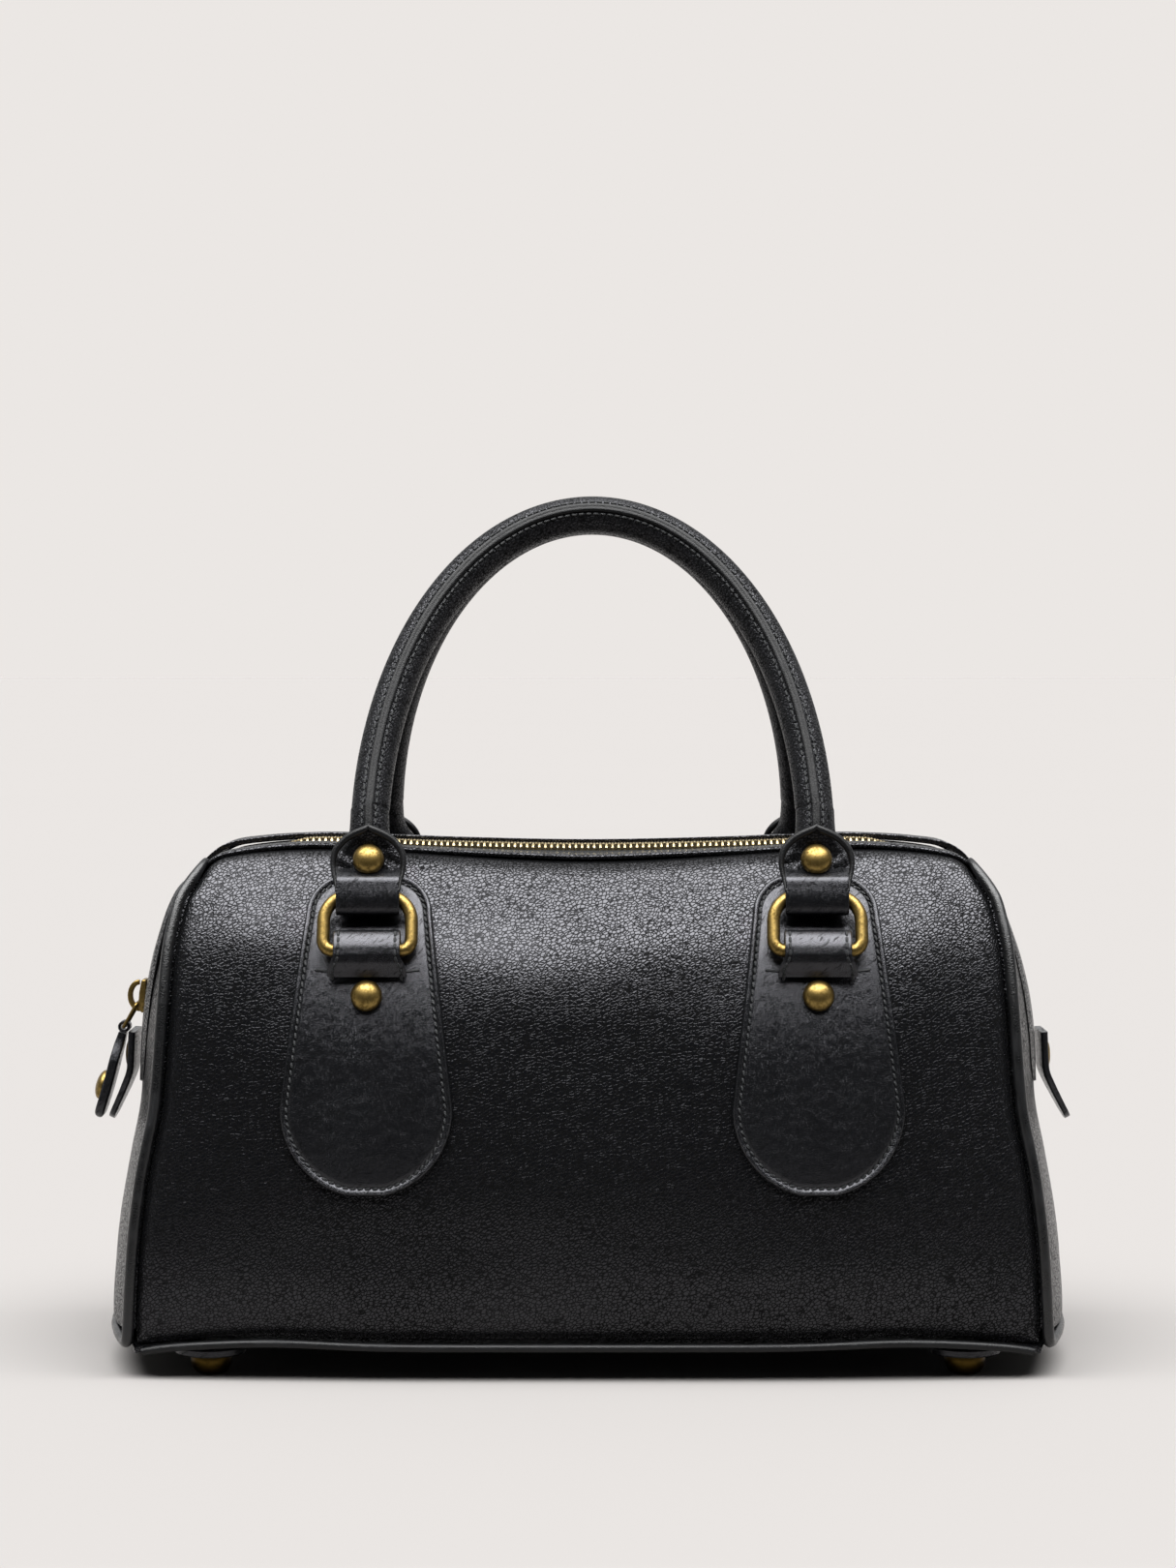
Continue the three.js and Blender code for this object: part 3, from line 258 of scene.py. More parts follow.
PULL_RING_OUT, PULL_RING_UP = 4.4, -2.6

# Feet
FOOT_X, FOOT_Y, FOOT_RADIUS, FOOT_HIGH, FOOT_FLAT, FOOT_DOME = 128, 55, 7.0, 7.1, 3.4, 0.72
WASHER_RADIUS, WASHER_SOFT, WASHER_GAP = 12.2, 0.45, 0.1

# Front pieces are carried to the back by half a turn about the upright
HALVES = (
    {"depth": "front", "shift": STATION_SHIFT, "sides": ("left", "right"), "turn": (1, 1, 1)},
    {"depth": "back", "shift": -STATION_SHIFT, "sides": ("right", "left"), "turn": (-1, -1, 1)},
)
ENDS = (("right", (1, 1, 1)), ("left", (-1, -1, 1)))


def length(name, description, default):
    """A length that the user can change."""
    return bpy.props.FloatProperty(name=name, description=description, default=default, unit="LENGTH")


def colour(name, description, default):
    """A colour that the user can change."""
    return bpy.props.FloatVectorProperty(
        name=name, description=description, default=default, size=3, min=0, max=1, subtype="COLOR"
    )


class SatchelSizes(bpy.types.PropertyGroup):
    """Sizes of the satchel's finer detail."""

    pebble: length("Pebble", "Width of one pebble of the leather's grain", 0.0012)
    stitch_pitch: length("Stitch Pitch", "Distance from one stitch to the next", 0.0025)
    stitch_long: length("Stitch Length", "Length of thread that shows", 0.0020)
    thread: length("Thread", "Thickness of the thread", 0.0010)
    tooth_pitch: length("Tooth Pitch", "Distance between teeth on one side", 0.00215)
    band_bead: length("Band Edge", "Thickness of the band's rolled edge", 0.0018)
    slump: bpy.props.FloatProperty(
        name="Slump", description="How strongly the leather dents and swells", default=1.0, subtype="FACTOR"
    )


class SatchelColours(bpy.types.PropertyGroup):
    """Colours of the satchel's finishes and of the stage."""

    leather: colour("Leather", "Dyed leather of the body", (0.0026, 0.0028, 0.0034))
    edging: colour("Edging", "Painted edges and corded seams", (0.0026, 0.0028, 0.0033))
    brass: colour("Brass", "Bright side of the aged brass", (0.25, 0.172, 0.056))
    patina: colour("Patina", "Dark side of the aged brass", (0.062, 0.038, 0.008))
    teeth: colour("Teeth", "Brass of the zip teeth", (0.60, 0.50, 0.31))
    cloth: colour("Cloth", "Zip tape and thread", (0.01, 0.011, 0.012))
    backdrop: colour("Backdrop", "Floor and backdrop", (0.831, 0.799, 0.776))


# Numbers along tables, curves and surfaces


def mix(first, second, part):
    return first + (second - first) * part


def ease(value, low, high):
    """Rises smoothly from 0 at low to 1 at high."""
    part = np.clip((value - low) / (high - low), 0, 1)
    return part * part * (3 - 2 * part)


def hump(value, middle, spread):
    """1 at the middle, falling away smoothly on both sides."""
    return np.exp(-(((value - middle) / spread) ** 2))


def round_off(part, start, span, least):
    """Falls from 1 at start along a quarter circle of that span, and no lower than the root of least."""
    return np.sqrt(np.clip(1 - ((part - start) / span).clip(0) ** 2, least, 1))


def around(count):
    """Equally spaced angles round a circle."""
    return 2 * np.pi * np.arange(count) / count


def boxy(wave):
    """A sine or cosine pushed out towards its ends, for a squarer section."""
    return np.sign(wave) * np.abs(wave) ** 0.6


def unit(vectors):
    return vectors / np.maximum(np.linalg.norm(vectors, axis=-1, keepdims=True), 1e-9)


def points(x, y, z):
    """Points from their coordinates, which may be numbers or arrays."""
    return np.stack(np.broadcast_arrays(x, y, z), -1).astype(float)


def row_at(rows, place):
    """A table's row at places from 0 (first row) to 1 (last row), smooth through every row."""
    spans = len(next(iter(rows.values()))) - 1
    at = np.clip(place, 0, 1) * spans
    first = np.minimum(np.floor(at), spans - 1).astype(int)
    f = at - first
    found = {}
    for name, column in rows.items():
        a, b, c, d = (column[np.clip(first + k, 0, spans)] for k in (-1, 0, 1, 2))
        found[name] = b + 0.5 * f * (c - a + f * (2 * a - 5 * b + 4 * c - d + f * (3 * (b - c) + d - a)))
    return found


def place_where(rising, value):
    """The place from 0 to 1 where a rising function reaches each value."""
    low = np.zeros(np.shape(value))
    high = np.ones(np.shape(value))
    for _ in range(40):
        middle = (low + high) / 2
        below = rising(middle) < value
        low = np.where(below, middle, low)
        high = np.where(below, high, middle)
    return (low + high) / 2


def body_place(height):
    return place_where(lambda place: row_at(BODY, place)["height"], np.asarray(height, float))


def body_at(height):
    return row_at(BODY, body_place(height))


def run_along(path):
    """Distance along a path at each of its points."""
    return np.concatenate([[0], np.cumsum(np.linalg.norm(np.diff(path, axis=0), axis=1))])


def even(path, count):
    """A path's points moved to equal distances."""
    run = run_along(path)
    at = np.linspace(0, run[-1], count)
    return np.stack([np.interp(at, run, column) for column in path.T], -1)


def smooth_path(corners, count):
    """An evenly spaced smooth curve through a few points."""
    corners = np.asarray(corners, float)
    gaps = np.sqrt(np.linalg.norm(np.diff(corners, axis=0), axis=1))
    knots = np.concatenate([[0], np.cumsum(gaps)])
    slopes = np.gradient(corners, knots, axis=0)
    at = np.linspace(0, knots[-1], 4 * count)
    first = np.clip(np.searchsorted(knots, at, side="right") - 1, 0, len(knots) - 2)
    span = (knots[first + 1] - knots[first])[:, None]
    f = (at[:, None] - knots[first][:, None]) / span
    start, end = corners[first], corners[first + 1]
    leave, arrive = slopes[first] * span, slopes[first + 1] * span
    bend = f * f * (3 - 2 * f)
    curve = mix(start, end, bend) + f * (1 - f) * ((1 - f) * leave - f * arrive)
    return even(curve, count)


def settle(x, height):
    """Height of a point of the body after the saddle, the corner fall and the lift by the feet."""
    saddle = -SADDLE_DEPTH * np.cos(np.pi * x / SADDLE_HALF_SPAN)
    corner = -CORNER_DROP * (np.abs(x) / CORNER_AT) ** CORNER_POWER
    lift = FOOT_LIFT * hump(np.abs(x), FOOT_LIFT_AT, FOOT_LIFT_SPREAD)
    return (
        height
        + saddle * ease(height, SADDLE_FROM, TOP_HEIGHT)
        + corner * ease(height, CORNER_FROM, TOP_HEIGHT)
        + lift * (1 - ease(height, BODY_FOOT["height"], FOOT_LIFT_TOP))
    )


def toe(across, height):
    """How far the lower corners droop below the rest of the body."""
    low = 1 - ease(height, BODY_FOOT["height"], FOOT_LIFT_TOP)
    return TOE_DROP * low * np.abs(across) ** TOE_POWER


def seam_depth(row):
    return row["half_depth"] - row["edge_inset"]


def bowed_depth(row, across):
    """Half the bag's depth at places across the front, drawn in towards the end seams."""
    return row["half_depth"] - row["edge_inset"] * np.abs(across) ** EDGE_POWER


def bowed_width(row, across, flare=0.0):
    """Half the bag's width at places across an end, standing out in the middle."""
    return row["half_width"] + (row["end_crown"] + flare) * (1 - across**2)


def front_point(across, place):
    """Outer face of the front panel: across from -1 to 1, place from 0 at the base to 1 at the top."""
    row = row_at(BODY, place)
    x = across * (row["half_width"] - END_SEAM)
    return points(x, -bowed_depth(row, across), settle(x, row["height"]) - toe(across, row["height"]))


def front_at(x, height):
    """The front panel's outer face at a given x and height, with its outward normal."""
    x, height = np.broadcast_arrays(np.asarray(x, float), np.asarray(height, float))

    def across_at(place):
        return x / (row_at(BODY, place)["half_width"] - END_SEAM)

    place = place_where(lambda p: front_point(across_at(p), p)[..., 2], height)
    across = across_at(place)
    step = 0.002
    along = front_point(across + step, place) - front_point(across - step, place)
    up = front_point(across, place + step) - front_point(across, place - step)
    return front_point(across, place), unit(np.cross(along, up))


def end_point(across, place):
    """Outer face of the right end: across from -1 at the front seam to 1 at the back seam."""
    row = row_at(BODY, place)
    flare = GUSSET_FLARE * (1 - ease(row["height"], GUSSET_LOW, GUSSET_FLARE_TOP))
    corner = GUSSET_CORNER * (1 - ease(row["height"], GUSSET_LOW, GUSSET_CORNER_TOP))
    z = settle(row["half_width"], row["height"]) + corner * np.abs(across) ** GUSSET_CORNER_POWER
    return points(bowed_width(row, across, flare), across * (seam_depth(row) - END_SEAM), z)


def base_point(along, across):
    """Underside of the base: along and across from -1 to 1."""
    x = along * (bowed_width(BODY_FOOT, across) - END_SEAM)
    y = across * (bowed_depth(BODY_FOOT, along) - BASE_SEAM)
    edge = np.maximum(np.abs(along), np.abs(across)) ** BASE_EDGE_POWER
    lift = settle(x, BODY_FOOT["height"]) - BODY_FOOT["height"]
    droop = toe(along, BODY_FOOT["height"]) * np.abs(across) ** TOE_SIDE_POWER
    return points(x, y, BASE_LOW + edge * (BASE_EDGE_RISE + lift - droop))


def zip_curve():
    """The zip line from the foot of the right end over the top to the foot of the left end."""
    row = body_at(ZIP_END_LEVELS[::-1])
    end = points(row["half_width"] + row["end_crown"], 0, settle(row["half_width"], row["height"]))
    top = points(ZIP_TOP["along"], 0, ZIP_TOP["height"])[::-1]
    right = np.concatenate([end, top])
    left = right[-2::-1] * (-1, 1, 1)
    return smooth_path(np.concatenate([right, left]), 1600)


ZIP_LINE = zip_curve()
ZIP_RUN = run_along(ZIP_LINE)
ZIP_LENGTH = ZIP_RUN[-1]
ZIP_TANGENT = unit(np.gradient(ZIP_LINE, axis=0))


def zip_frame(distance):
    """The zip line's point, running direction and outward direction at distances along it."""
    centre, run = (
        np.stack([np.interp(distance, ZIP_RUN, column) for column in line.T], -1)
        for line in (ZIP_LINE, ZIP_TANGENT)
    )
    run = unit(run)
    return centre, run, points(run[..., 2], 0, -run[..., 0])


def zip_distance(height):
    """The distance along the zip line where it passes a height on the right end."""
    rising = ZIP_LINE[: len(ZIP_LINE) // 4]
    return float(np.interp(height, rising[:, 2], ZIP_RUN[: len(rising)]))


def band_drop(centre):
    """How far the band's edge lies below the zip line."""
    along = np.abs(centre[..., 0])
    row = body_at(np.clip(centre[..., 2], BODY_FOOT["height"], TOP_HEIGHT))
    at_end = row["end_crown"] * (BAND_HALF / seam_depth(row)) ** 2
    to_corner = mix(BAND_DROP_HANDLES, BAND_DROP_CORNER, ease(along, SADDLE_HALF_SPAN, BAND_CORNER_ALONG))
    wave = 0.5 + 0.5 * np.cos(np.pi * np.minimum(along, SADDLE_HALF_SPAN) / SADDLE_HALF_SPAN)
    on_top = np.where(along > SADDLE_HALF_SPAN, to_corner, mix(BAND_DROP_HANDLES, BAND_DROP_MIDDLE, wave))
    turn = ease(centre[..., 2], BAND_TURN_LOW, BAND_TURN_HIGH)
    return mix(at_end, on_top, turn)


def zip_point(distance, side, above):
    """A point beside the zip line: at a distance along it, to the side, and above the leather."""
    distance, side, above = np.broadcast_arrays(distance, side, above)
    centre, _, out = zip_frame(distance)
    rise = above - band_drop(centre) * (side / BAND_HALF) ** 2
    return centre + out * rise[..., None] + points(0, side, 0)


# Shapes, each a pair of points and faces


def joined(*shapes):
    """Several shapes as one."""
    found = []
    faces = []
    skip = 0
    for verts, polygons in shapes:
        found.append(np.reshape(verts, (-1, 3)))
        faces += [[k + skip for k in polygon] for polygon in polygons]
        skip += len(found[-1])
    return np.concatenate(found), faces


def moved(shape, scale=(1, 1, 1), offset=(0, 0, 0)):
    verts, faces = shape
    return np.asarray(verts) * scale + offset, faces


def grid_normals(grid):
    return unit(np.cross(np.gradient(grid, axis=1), np.gradient(grid, axis=0)))


def walled(grid, wall, keep=None):
    """A leather wall: its outer face follows a grid of points and it goes in by wall."""
    rows, columns = grid.shape[:2]
    inner = grid - grid_normals(grid) * wall
    skip = rows * columns
    faces = []
    edges = {}
    for j in range(rows - 1):
        for i in range(columns - 1):
            if keep is not None and not keep[j, i]:
                continue
            k = j * columns + i
            quad = [k, k + 1, k + 1 + columns, k + columns]
            faces.append(quad)
            faces.append([q + skip for q in reversed(quad)])
            for a, b in zip(quad, quad[1:] + quad[:1]):
                if (b, a) in edges:
                    del edges[b, a]
                else:
                    edges[a, b] = True
    faces += [[b, a, a + skip, b + skip] for a, b in edges]
    return np.concatenate([grid.reshape(-1, 3), inner.reshape(-1, 3)]), faces


def loft(sections, ring=False):
    """A skin through sections of equally many points, with flat ends or closed into a ring."""
    total, count = sections.shape[:2]
    faces = []
    for s in range(total if ring else total - 1):
        after = (s + 1) % total
        for k in range(count):
            other = (k + 1) % count
            faces.append([s * count + k, s * count + other, after * count + other, after * count + k])
    if not ring:
        faces.append(list(range(count))[::-1])
        faces.append([(total - 1) * count + k for k in range(count)])
    return sections.reshape(-1, 3), faces


def directions(path, ring=False):
    """Running directions along a path."""
    if ring:
        return unit(np.roll(path, -1, axis=0) - np.roll(path, 1, axis=0))
    return unit(np.gradient(path, axis=0))


def wire(path, side, radius, sides=16, ring=False):
    """A round wire or cord along a path; radius may change along it."""
    run = directions(path, ring)
    other = unit(np.cross(run, side))
    square = np.cross(other, run)
    angle = around(sides)
    radius = np.broadcast_to(radius, (len(path),))[:, None, None]
    spread = square[:, None] * np.cos(angle)[:, None] + other[:, None] * np.sin(angle)[:, None]
    return loft(path[:, None] + spread * radius, ring)


def turned(profile, centre, axis, sides=40):
    """A turned piece from rows of radius and height above its centre, along an axis."""
    axis = unit(np.asarray(axis, float))
    first = unit(np.cross(axis, Y_AXIS if abs(axis[1]) < 0.9 else X_AXIS))
    second = np.cross(axis, first)
    angle = around(sides)
    round_about = first * np.cos(angle)[:, None] + second * np.sin(angle)[:, None]
    sections = [centre + axis * height + round_about * max(radius, 1e-6) for radius, height in profile]
    return loft(np.array(sections))


EDGE_TURN = np.linspace(-0.5, 0.5, 9) * np.pi


def strap(path, edge, half_thick, half_wide, split=0.0):
    """A flat strap with softly rounded cut edges. edge is its width direction; split is how deep the line
    between two glued layers goes in along its edges."""
    face = unit(np.cross(directions(path), edge))
    half_thick, half_wide = (np.broadcast_to(half, (len(path),))[:, None] for half in (half_thick, half_wide))
    thick = boxy(np.sin(EDGE_TURN))
    inset = 0.8 * (1 - boxy(np.cos(EDGE_TURN))) + split * (EDGE_TURN == 0)
    wide = np.maximum(half_wide - half_thick * inset, 0.02)
    across = np.concatenate([wide, -wide[:, ::-1]], 1)[..., None] * edge
    through = (half_thick * np.concatenate([thick, thick[::-1]]))[..., None] * face[:, None]
    return loft(path[:, None] + across + through)


def softened(outline, half_wide, soft):
    """A block with softened edges: an outline of front and up, as wide as asked along the first axis."""
    bm = bmesh.new()
    face = bm.faces.new([bm.verts.new((-half_wide, front, up)) for front, up in outline])
    made = bmesh.ops.extrude_face_region(bm, geom=[face])
    far = [v for v in made["geom"] if isinstance(v, bmesh.types.BMVert)]
    bmesh.ops.translate(bm, vec=(2 * half_wide, 0, 0), verts=far)
    bmesh.ops.bevel(bm, geom=bm.edges[:], offset=soft, segments=3, profile=0.5, affect="EDGES")
    bm.verts.index_update()
    verts = np.array([v.co[:] for v in bm.verts])
    faces = [[v.index for v in f.verts] for f in bm.faces]
    bm.free()
    return verts, faces


def repeated(shape, origins, axes):
    """Copies of a small shape, each at an origin with its own three axes."""
    verts, faces = shape
    placed = origins[:, None] + np.einsum("vk,nkc->nvc", verts, axes)
    count = len(verts)
    every = [[k + n * count for k in face] for n in range(len(origins)) for face in faces]
    return placed.reshape(-1, 3), every


def stitch_shape():
    """One stitch, a unit long and a unit in radius, lying along the first axis."""
    long = np.array([-0.5, -0.42, -0.2, 0.2, 0.42, 0.5])
    full = np.array([0.3, 0.8, 1.0, 1.0, 0.8, 0.3])
    angle = around(6)
    return loft(points(long[:, None], full[:, None] * np.cos(angle), full[:, None] * np.sin(angle)))


def stitches(path, normals, slant=0.0, ring=False):
    """A row of stitches along a path on a surface."""
    sizes = bpy.context.scene.satchel_sizes
    pitch, long, thread = (value / MM for value in (sizes.stitch_pitch, sizes.stitch_long, sizes.thread))
    count = max(2, round(run_along(path)[-1] / pitch))
    both = even(np.concatenate([path, normals], 1), count + 1)[: count if ring else None]
    centres, normal = both[:, :3], unit(both[:, 3:])
    run = directions(centres, ring)
    side = unit(np.cross(normal, run))
    lie = math.cos(slant) * run + math.sin(slant) * side
    axes = np.stack([lie * long, np.cross(normal, lie) * thread / 2, normal * thread / 2], 1)
    return repeated(stitch_shape(), centres, axes)


# Shader nodes


class Socket:
    """A shader value; arithmetic on it adds Math nodes."""

    def __init__(self, nodes, socket):
        self.nodes = nodes
        self.socket = socket

    def _math(self, operation, first, second):
        return self.nodes.add("ShaderNodeMath", {"operation": operation}, {0: first, 1: second})

    def __add__(self, other):
        return self._math("ADD", self, other)

    def __radd__(self, other):
        return self._math("ADD", other, self)

    def __sub__(self, other):
        return self._math("SUBTRACT", self, other)

    def __rsub__(self, other):
        return self._math("SUBTRACT", other, self)

    def __mul__(self, other):
        return self._math("MULTIPLY", self, other)

    def __rmul__(self, other):
        return self._math("MULTIPLY", other, self)


class Nodes:
    """The nodes of one finish, or of the studio's light."""

    def __init__(self, tree):
        self.tree = tree
        tree.nodes.clear()

    def add(self, kind, settings=None, values=None, output=0):
        """A node of that type, with its settings and the values or links of its sockets."""
        made = self.tree.nodes.new(kind)
        for name, value in (settings or {}).items():
            setattr(made, name, value)
        for key, value in (values or {}).items():
            if isinstance(value, Socket):
                self.tree.links.new(value.socket, made.inputs[key])
            else:
                made.inputs[key].default_value = value
        return Socket(self, made.outputs[output]) if made.outputs else None

    def place(self):
        """Where a point lies in the bag's own frame, in metres."""
        return self.add("ShaderNodeTexCoord", output="Object")

    def noise(self, vector, scale, detail=2.0, rough=0.5, output="Fac"):
        values = {"Vector": vector, "Scale": scale, "Detail": detail, "Roughness": rough}
        return self.add("ShaderNodeTexNoise", None, values, output)

    def cells(self, vector, scale):
        """Distance from the nearest edge of a network of cells."""
        values = {"Vector": vector, "Scale": scale}
        return self.add("ShaderNodeTexVoronoi", {"feature": "DISTANCE_TO_EDGE"}, values)

    def ribs(self, vector, way, scale, uneven):
        """Rounded ribs across one direction."""
        values = {"Vector": vector, "Scale": scale, "Distortion": uneven}
        return self.add("ShaderNodeTexWave", {"bands_direction": way}, values)

    def rise(self, value, low, high):
        """Rises smoothly from 0 at low to 1 at high."""
        values = {"Value": value, "From Min": low, "From Max": high}
        return self.add("ShaderNodeMapRange", {"interpolation_type": "SMOOTHSTEP"}, values)

    def wobble(self, vector, scale, reach):
        """A vector shifted a little by noise, so that cells lose their straight edges."""
        shift = self.noise(vector, scale, 1.0, output="Color")
        centred = self.add("ShaderNodeVectorMath", {"operation": "SUBTRACT"}, {0: shift, 1: (0.5, 0.5, 0.5)})
        small = self.add("ShaderNodeVectorMath", {"operation": "SCALE"}, {0: centred, "Scale": reach})
        return self.add("ShaderNodeVectorMath", {"operation": "ADD"}, {0: vector, 1: small})

    def stretch(self, vector, scale):
        return self.add("ShaderNodeVectorMath", {"operation": "MULTIPLY"}, {0: vector, 1: scale})

    def blend(self, part, first, second):
        """A colour between two."""
        values = {"Factor": part, 6: first, 7: second}
        return self.add("ShaderNodeMix", {"data_type": "RGBA"}, values, 2)

    def shades(self, part, rgb, low, high):
        """A colour between a darker and a lighter share of one colour."""
        return self.blend(part, opaque(rgb, low), opaque(rgb, high))

    def bump(self, height, distance):
        return self.add("ShaderNodeBump", None, {"Strength": 1.0, "Distance": distance, "Height": height})

    def turned(self, vector, angle):
        """A vector turned about the bag's depth."""
        values = {"Vector": vector, "Angle": angle}
        return self.add("ShaderNodeVectorRotate", {"rotation_type": "Y_AXIS"}, values)

    def surface(self, values, crease_shade=None):
        """The finish's shader, mixed towards a near-black dull shader as painted shade in the creases where a
        crease mask is given.
        """
        shader = self.add("ShaderNodeBsdfPrincipled", None, values)
        if crease_shade:
            # Painted shade: a near-black shader with almost no shine, mixed in where the crease mask asks for
            # it
            painted_shade = {"Base Color": (0.0005, 0.0005, 0.0006, 1), "Roughness": 0.9, "Specular IOR Level": 0.1}
            hollow = self.add("ShaderNodeBsdfPrincipled", None, painted_shade)
            shader = self.add("ShaderNodeMixShader", None, {0: crease_shade, 1: shader, 2: hollow})
        self.add("ShaderNodeOutputMaterial", None, {"Surface": shader})


def opaque(rgb, share=1.0):
    """A colour property as a shader colour, made darker or lighter by share."""
    return (*(share * value for value in rgb), 1.0)


# Waxed black leather shines a little cold
SHINE_TINT = (0.93, 0.93, 1.0, 1.0)


def pebbled_finish(nodes, place, colours, grain, depth, rough):
    """Dyed leather with a pebbled grain: rounded cells, fine pores and long folds, with painted shade
    darkening the creases between the cells.
    """
    grain *= bpy.context.scene.satchel_sizes.pebble
    slanted = nodes.turned(place, 0.6)
    drawn = nodes.wobble(nodes.stretch(slanted, (0.8, 1.0, 1.15)), 0.3 / grain, 0.8 * grain)
    cells = nodes.cells(drawn, 1 / grain)
    edge = nodes.rise(cells, 0.0, 0.16)
    dome = nodes.rise(cells, 0.0, 0.45)
    small = nodes.rise(nodes.cells(drawn, 2.3 / grain), 0.0, 0.25)
    pores = nodes.noise(place, 3.2 / grain, 3.0)
    wide = nodes.noise(place, 22.0, 2.0)
    folds = nodes.wobble(nodes.stretch(slanted, (0.6, 1.0, 1.3)), 60.0, 0.006)
    fold = nodes.rise(nodes.cells(folds, 0.2 / grain), 0.0, 0.05)
    full = nodes.rise(wide, 0.3, 0.7)
    height = edge * 0.4 + dome * (0.25 + 0.15 * full) + small * 0.05 + pores * 0.04 + fold * 0.2
    # Painted shade in the creases between the cells, mixed in through the dull shader, stronger where the
    # wide noise is full
    crease_shade = (1 - nodes.rise(cells, 0.02, 0.2)) * (0.8 + 0.18 * full)
    shine = {
        # Painted shade: the base colour is darker at the cell edges, in the creases
        "Base Color": nodes.shades(edge, colours.leather, 0.4, 0.9),
        "Roughness": rough + 0.05 * (wide - 0.5) + 0.03 * pores,
        "Specular IOR Level": 0.5,
        "Specular Tint": SHINE_TINT,
        "Normal": nodes.bump(height, depth),
    }
    nodes.surface(shine, crease_shade)


def smooth_finish(nodes, place, colours, rough, depth):
    """Smooth leather with fine slanting creases and pores, with painted shade in the creases."""
    bent = nodes.wobble(place, 240.0, 0.0012)
    grain = nodes.rise(nodes.cells(nodes.stretch(bent, (1.0, 1.0, 1.5)), 1500.0), 0.0, 0.22)
    creases = nodes.noise(nodes.stretch(nodes.turned(bent, 0.7), (260.0, 260.0, 1300.0)), 1.0, 3.0, 0.6)
    wide = nodes.noise(place, 55.0, 2.0)
    shine = {
        # Painted shade: the colour is darker where the crease noise is low, along the creases, and it also
        # varies at random with the wide noise
        "Base Color": nodes.shades(creases * wide * 2, colours.edging, 0.6, 1.3),
        "Roughness": rough + 0.08 * (wide - 0.5) + 0.08 * (1 - grain),
        "Specular IOR Level": 0.5,
        "Specular Tint": SHINE_TINT,
        "Normal": nodes.bump(grain * 0.4 + creases * 0.7 + wide * 0.5, depth),
    }
    # Painted shade: where the crease noise is low, the finish mixes towards the near-black dull shader
    nodes.surface(shine, 0.7 * (1 - nodes.rise(creases, 0.32, 0.46)))


def edging_finish(nodes, place, colours, rough, shine):
    """Painted edges and corded seams, pulled tight so that only a little grain is left."""
    grain = nodes.rise(nodes.cells(nodes.wobble(place, 500.0, 0.0006), 1250.0), 0.0, 0.2)
    rubbed = nodes.rise(nodes.noise(place, 120.0, 3.0), 0.45, 0.8)
    nodes.surface({
        "Base Color": nodes.shades(rubbed, colours.edging, 0.7, 1.8),
        "Roughness": rough + 0.12 * rubbed + 0.05 * (1 - grain),
        "Specular IOR Level": shine,
        "Normal": nodes.bump(grain * 0.5 + rubbed, 0.00006),
    })


def brass_finish(nodes, place, colours, bright, dark, rough, speckle):
    """Brass with a speckled patina, worn brighter in patches. bright and dark name two of the colours."""
    speckles = nodes.rise(nodes.noise(place, speckle, 3.0, 0.65), 0.4, 0.68)
    cloud = nodes.rise(nodes.noise(place, 160.0, 2.0), 0.3, 0.75)
    patina = speckles * (0.5 + 0.45 * cloud)
    scratches = nodes.noise(nodes.stretch(place, (2600.0, 700.0, 2600.0)), 1.0, 2.0)
    nodes.surface({
        "Base Color": nodes.blend(patina, opaque(getattr(colours, bright)), opaque(getattr(colours, dark))),
        "Metallic": 1.0,
        "Roughness": rough + 0.2 * patina + 0.06 * scratches,
        "Normal": nodes.bump(patina + 0.3 * scratches, 0.00002),
    })


def cloth_finish(nodes, place, colours):
    """Woven tape: two crossing sets of ribs."""
    along, across = (nodes.ribs(place, way, 420.0, 0.4) for way in ("X", "Y"))
    weave = along * 0.5 + across * 0.5
    nodes.surface({
        "Base Color": nodes.shades(weave, colours.cloth, 0.5, 1.6),
        "Roughness": 0.92 - 0.1 * weave,
        "Specular IOR Level": 0.2,
        "Normal": nodes.bump(weave, 0.0002),
    })


def thread_finish(nodes, place, colours):
    """Waxed thread with a twist."""
    twist = nodes.ribs(place, "DIAGONAL", 900.0, 0.6)
    nodes.surface({
        "Base Color": nodes.shades(twist, colours.cloth, 0.5, 1.5),
        "Roughness": 0.5 - 0.1 * twist,
        "Specular IOR Level": 0.35,
        "Normal": nodes.bump(twist, 0.00008),
    })


def floor_finish(nodes, place, colours):
    """Plain pale floor with the faintest unevenness."""
    cloud = nodes.noise(place, 1.5, 2.0)
    nodes.surface({
        "Base Color": nodes.shades(cloud, colours.backdrop, 0.995 / FLOOR_LIGHT, 1.005 / FLOOR_LIGHT),
        "Roughness": 1.0,
        "Specular IOR Level": 0.0,
    })


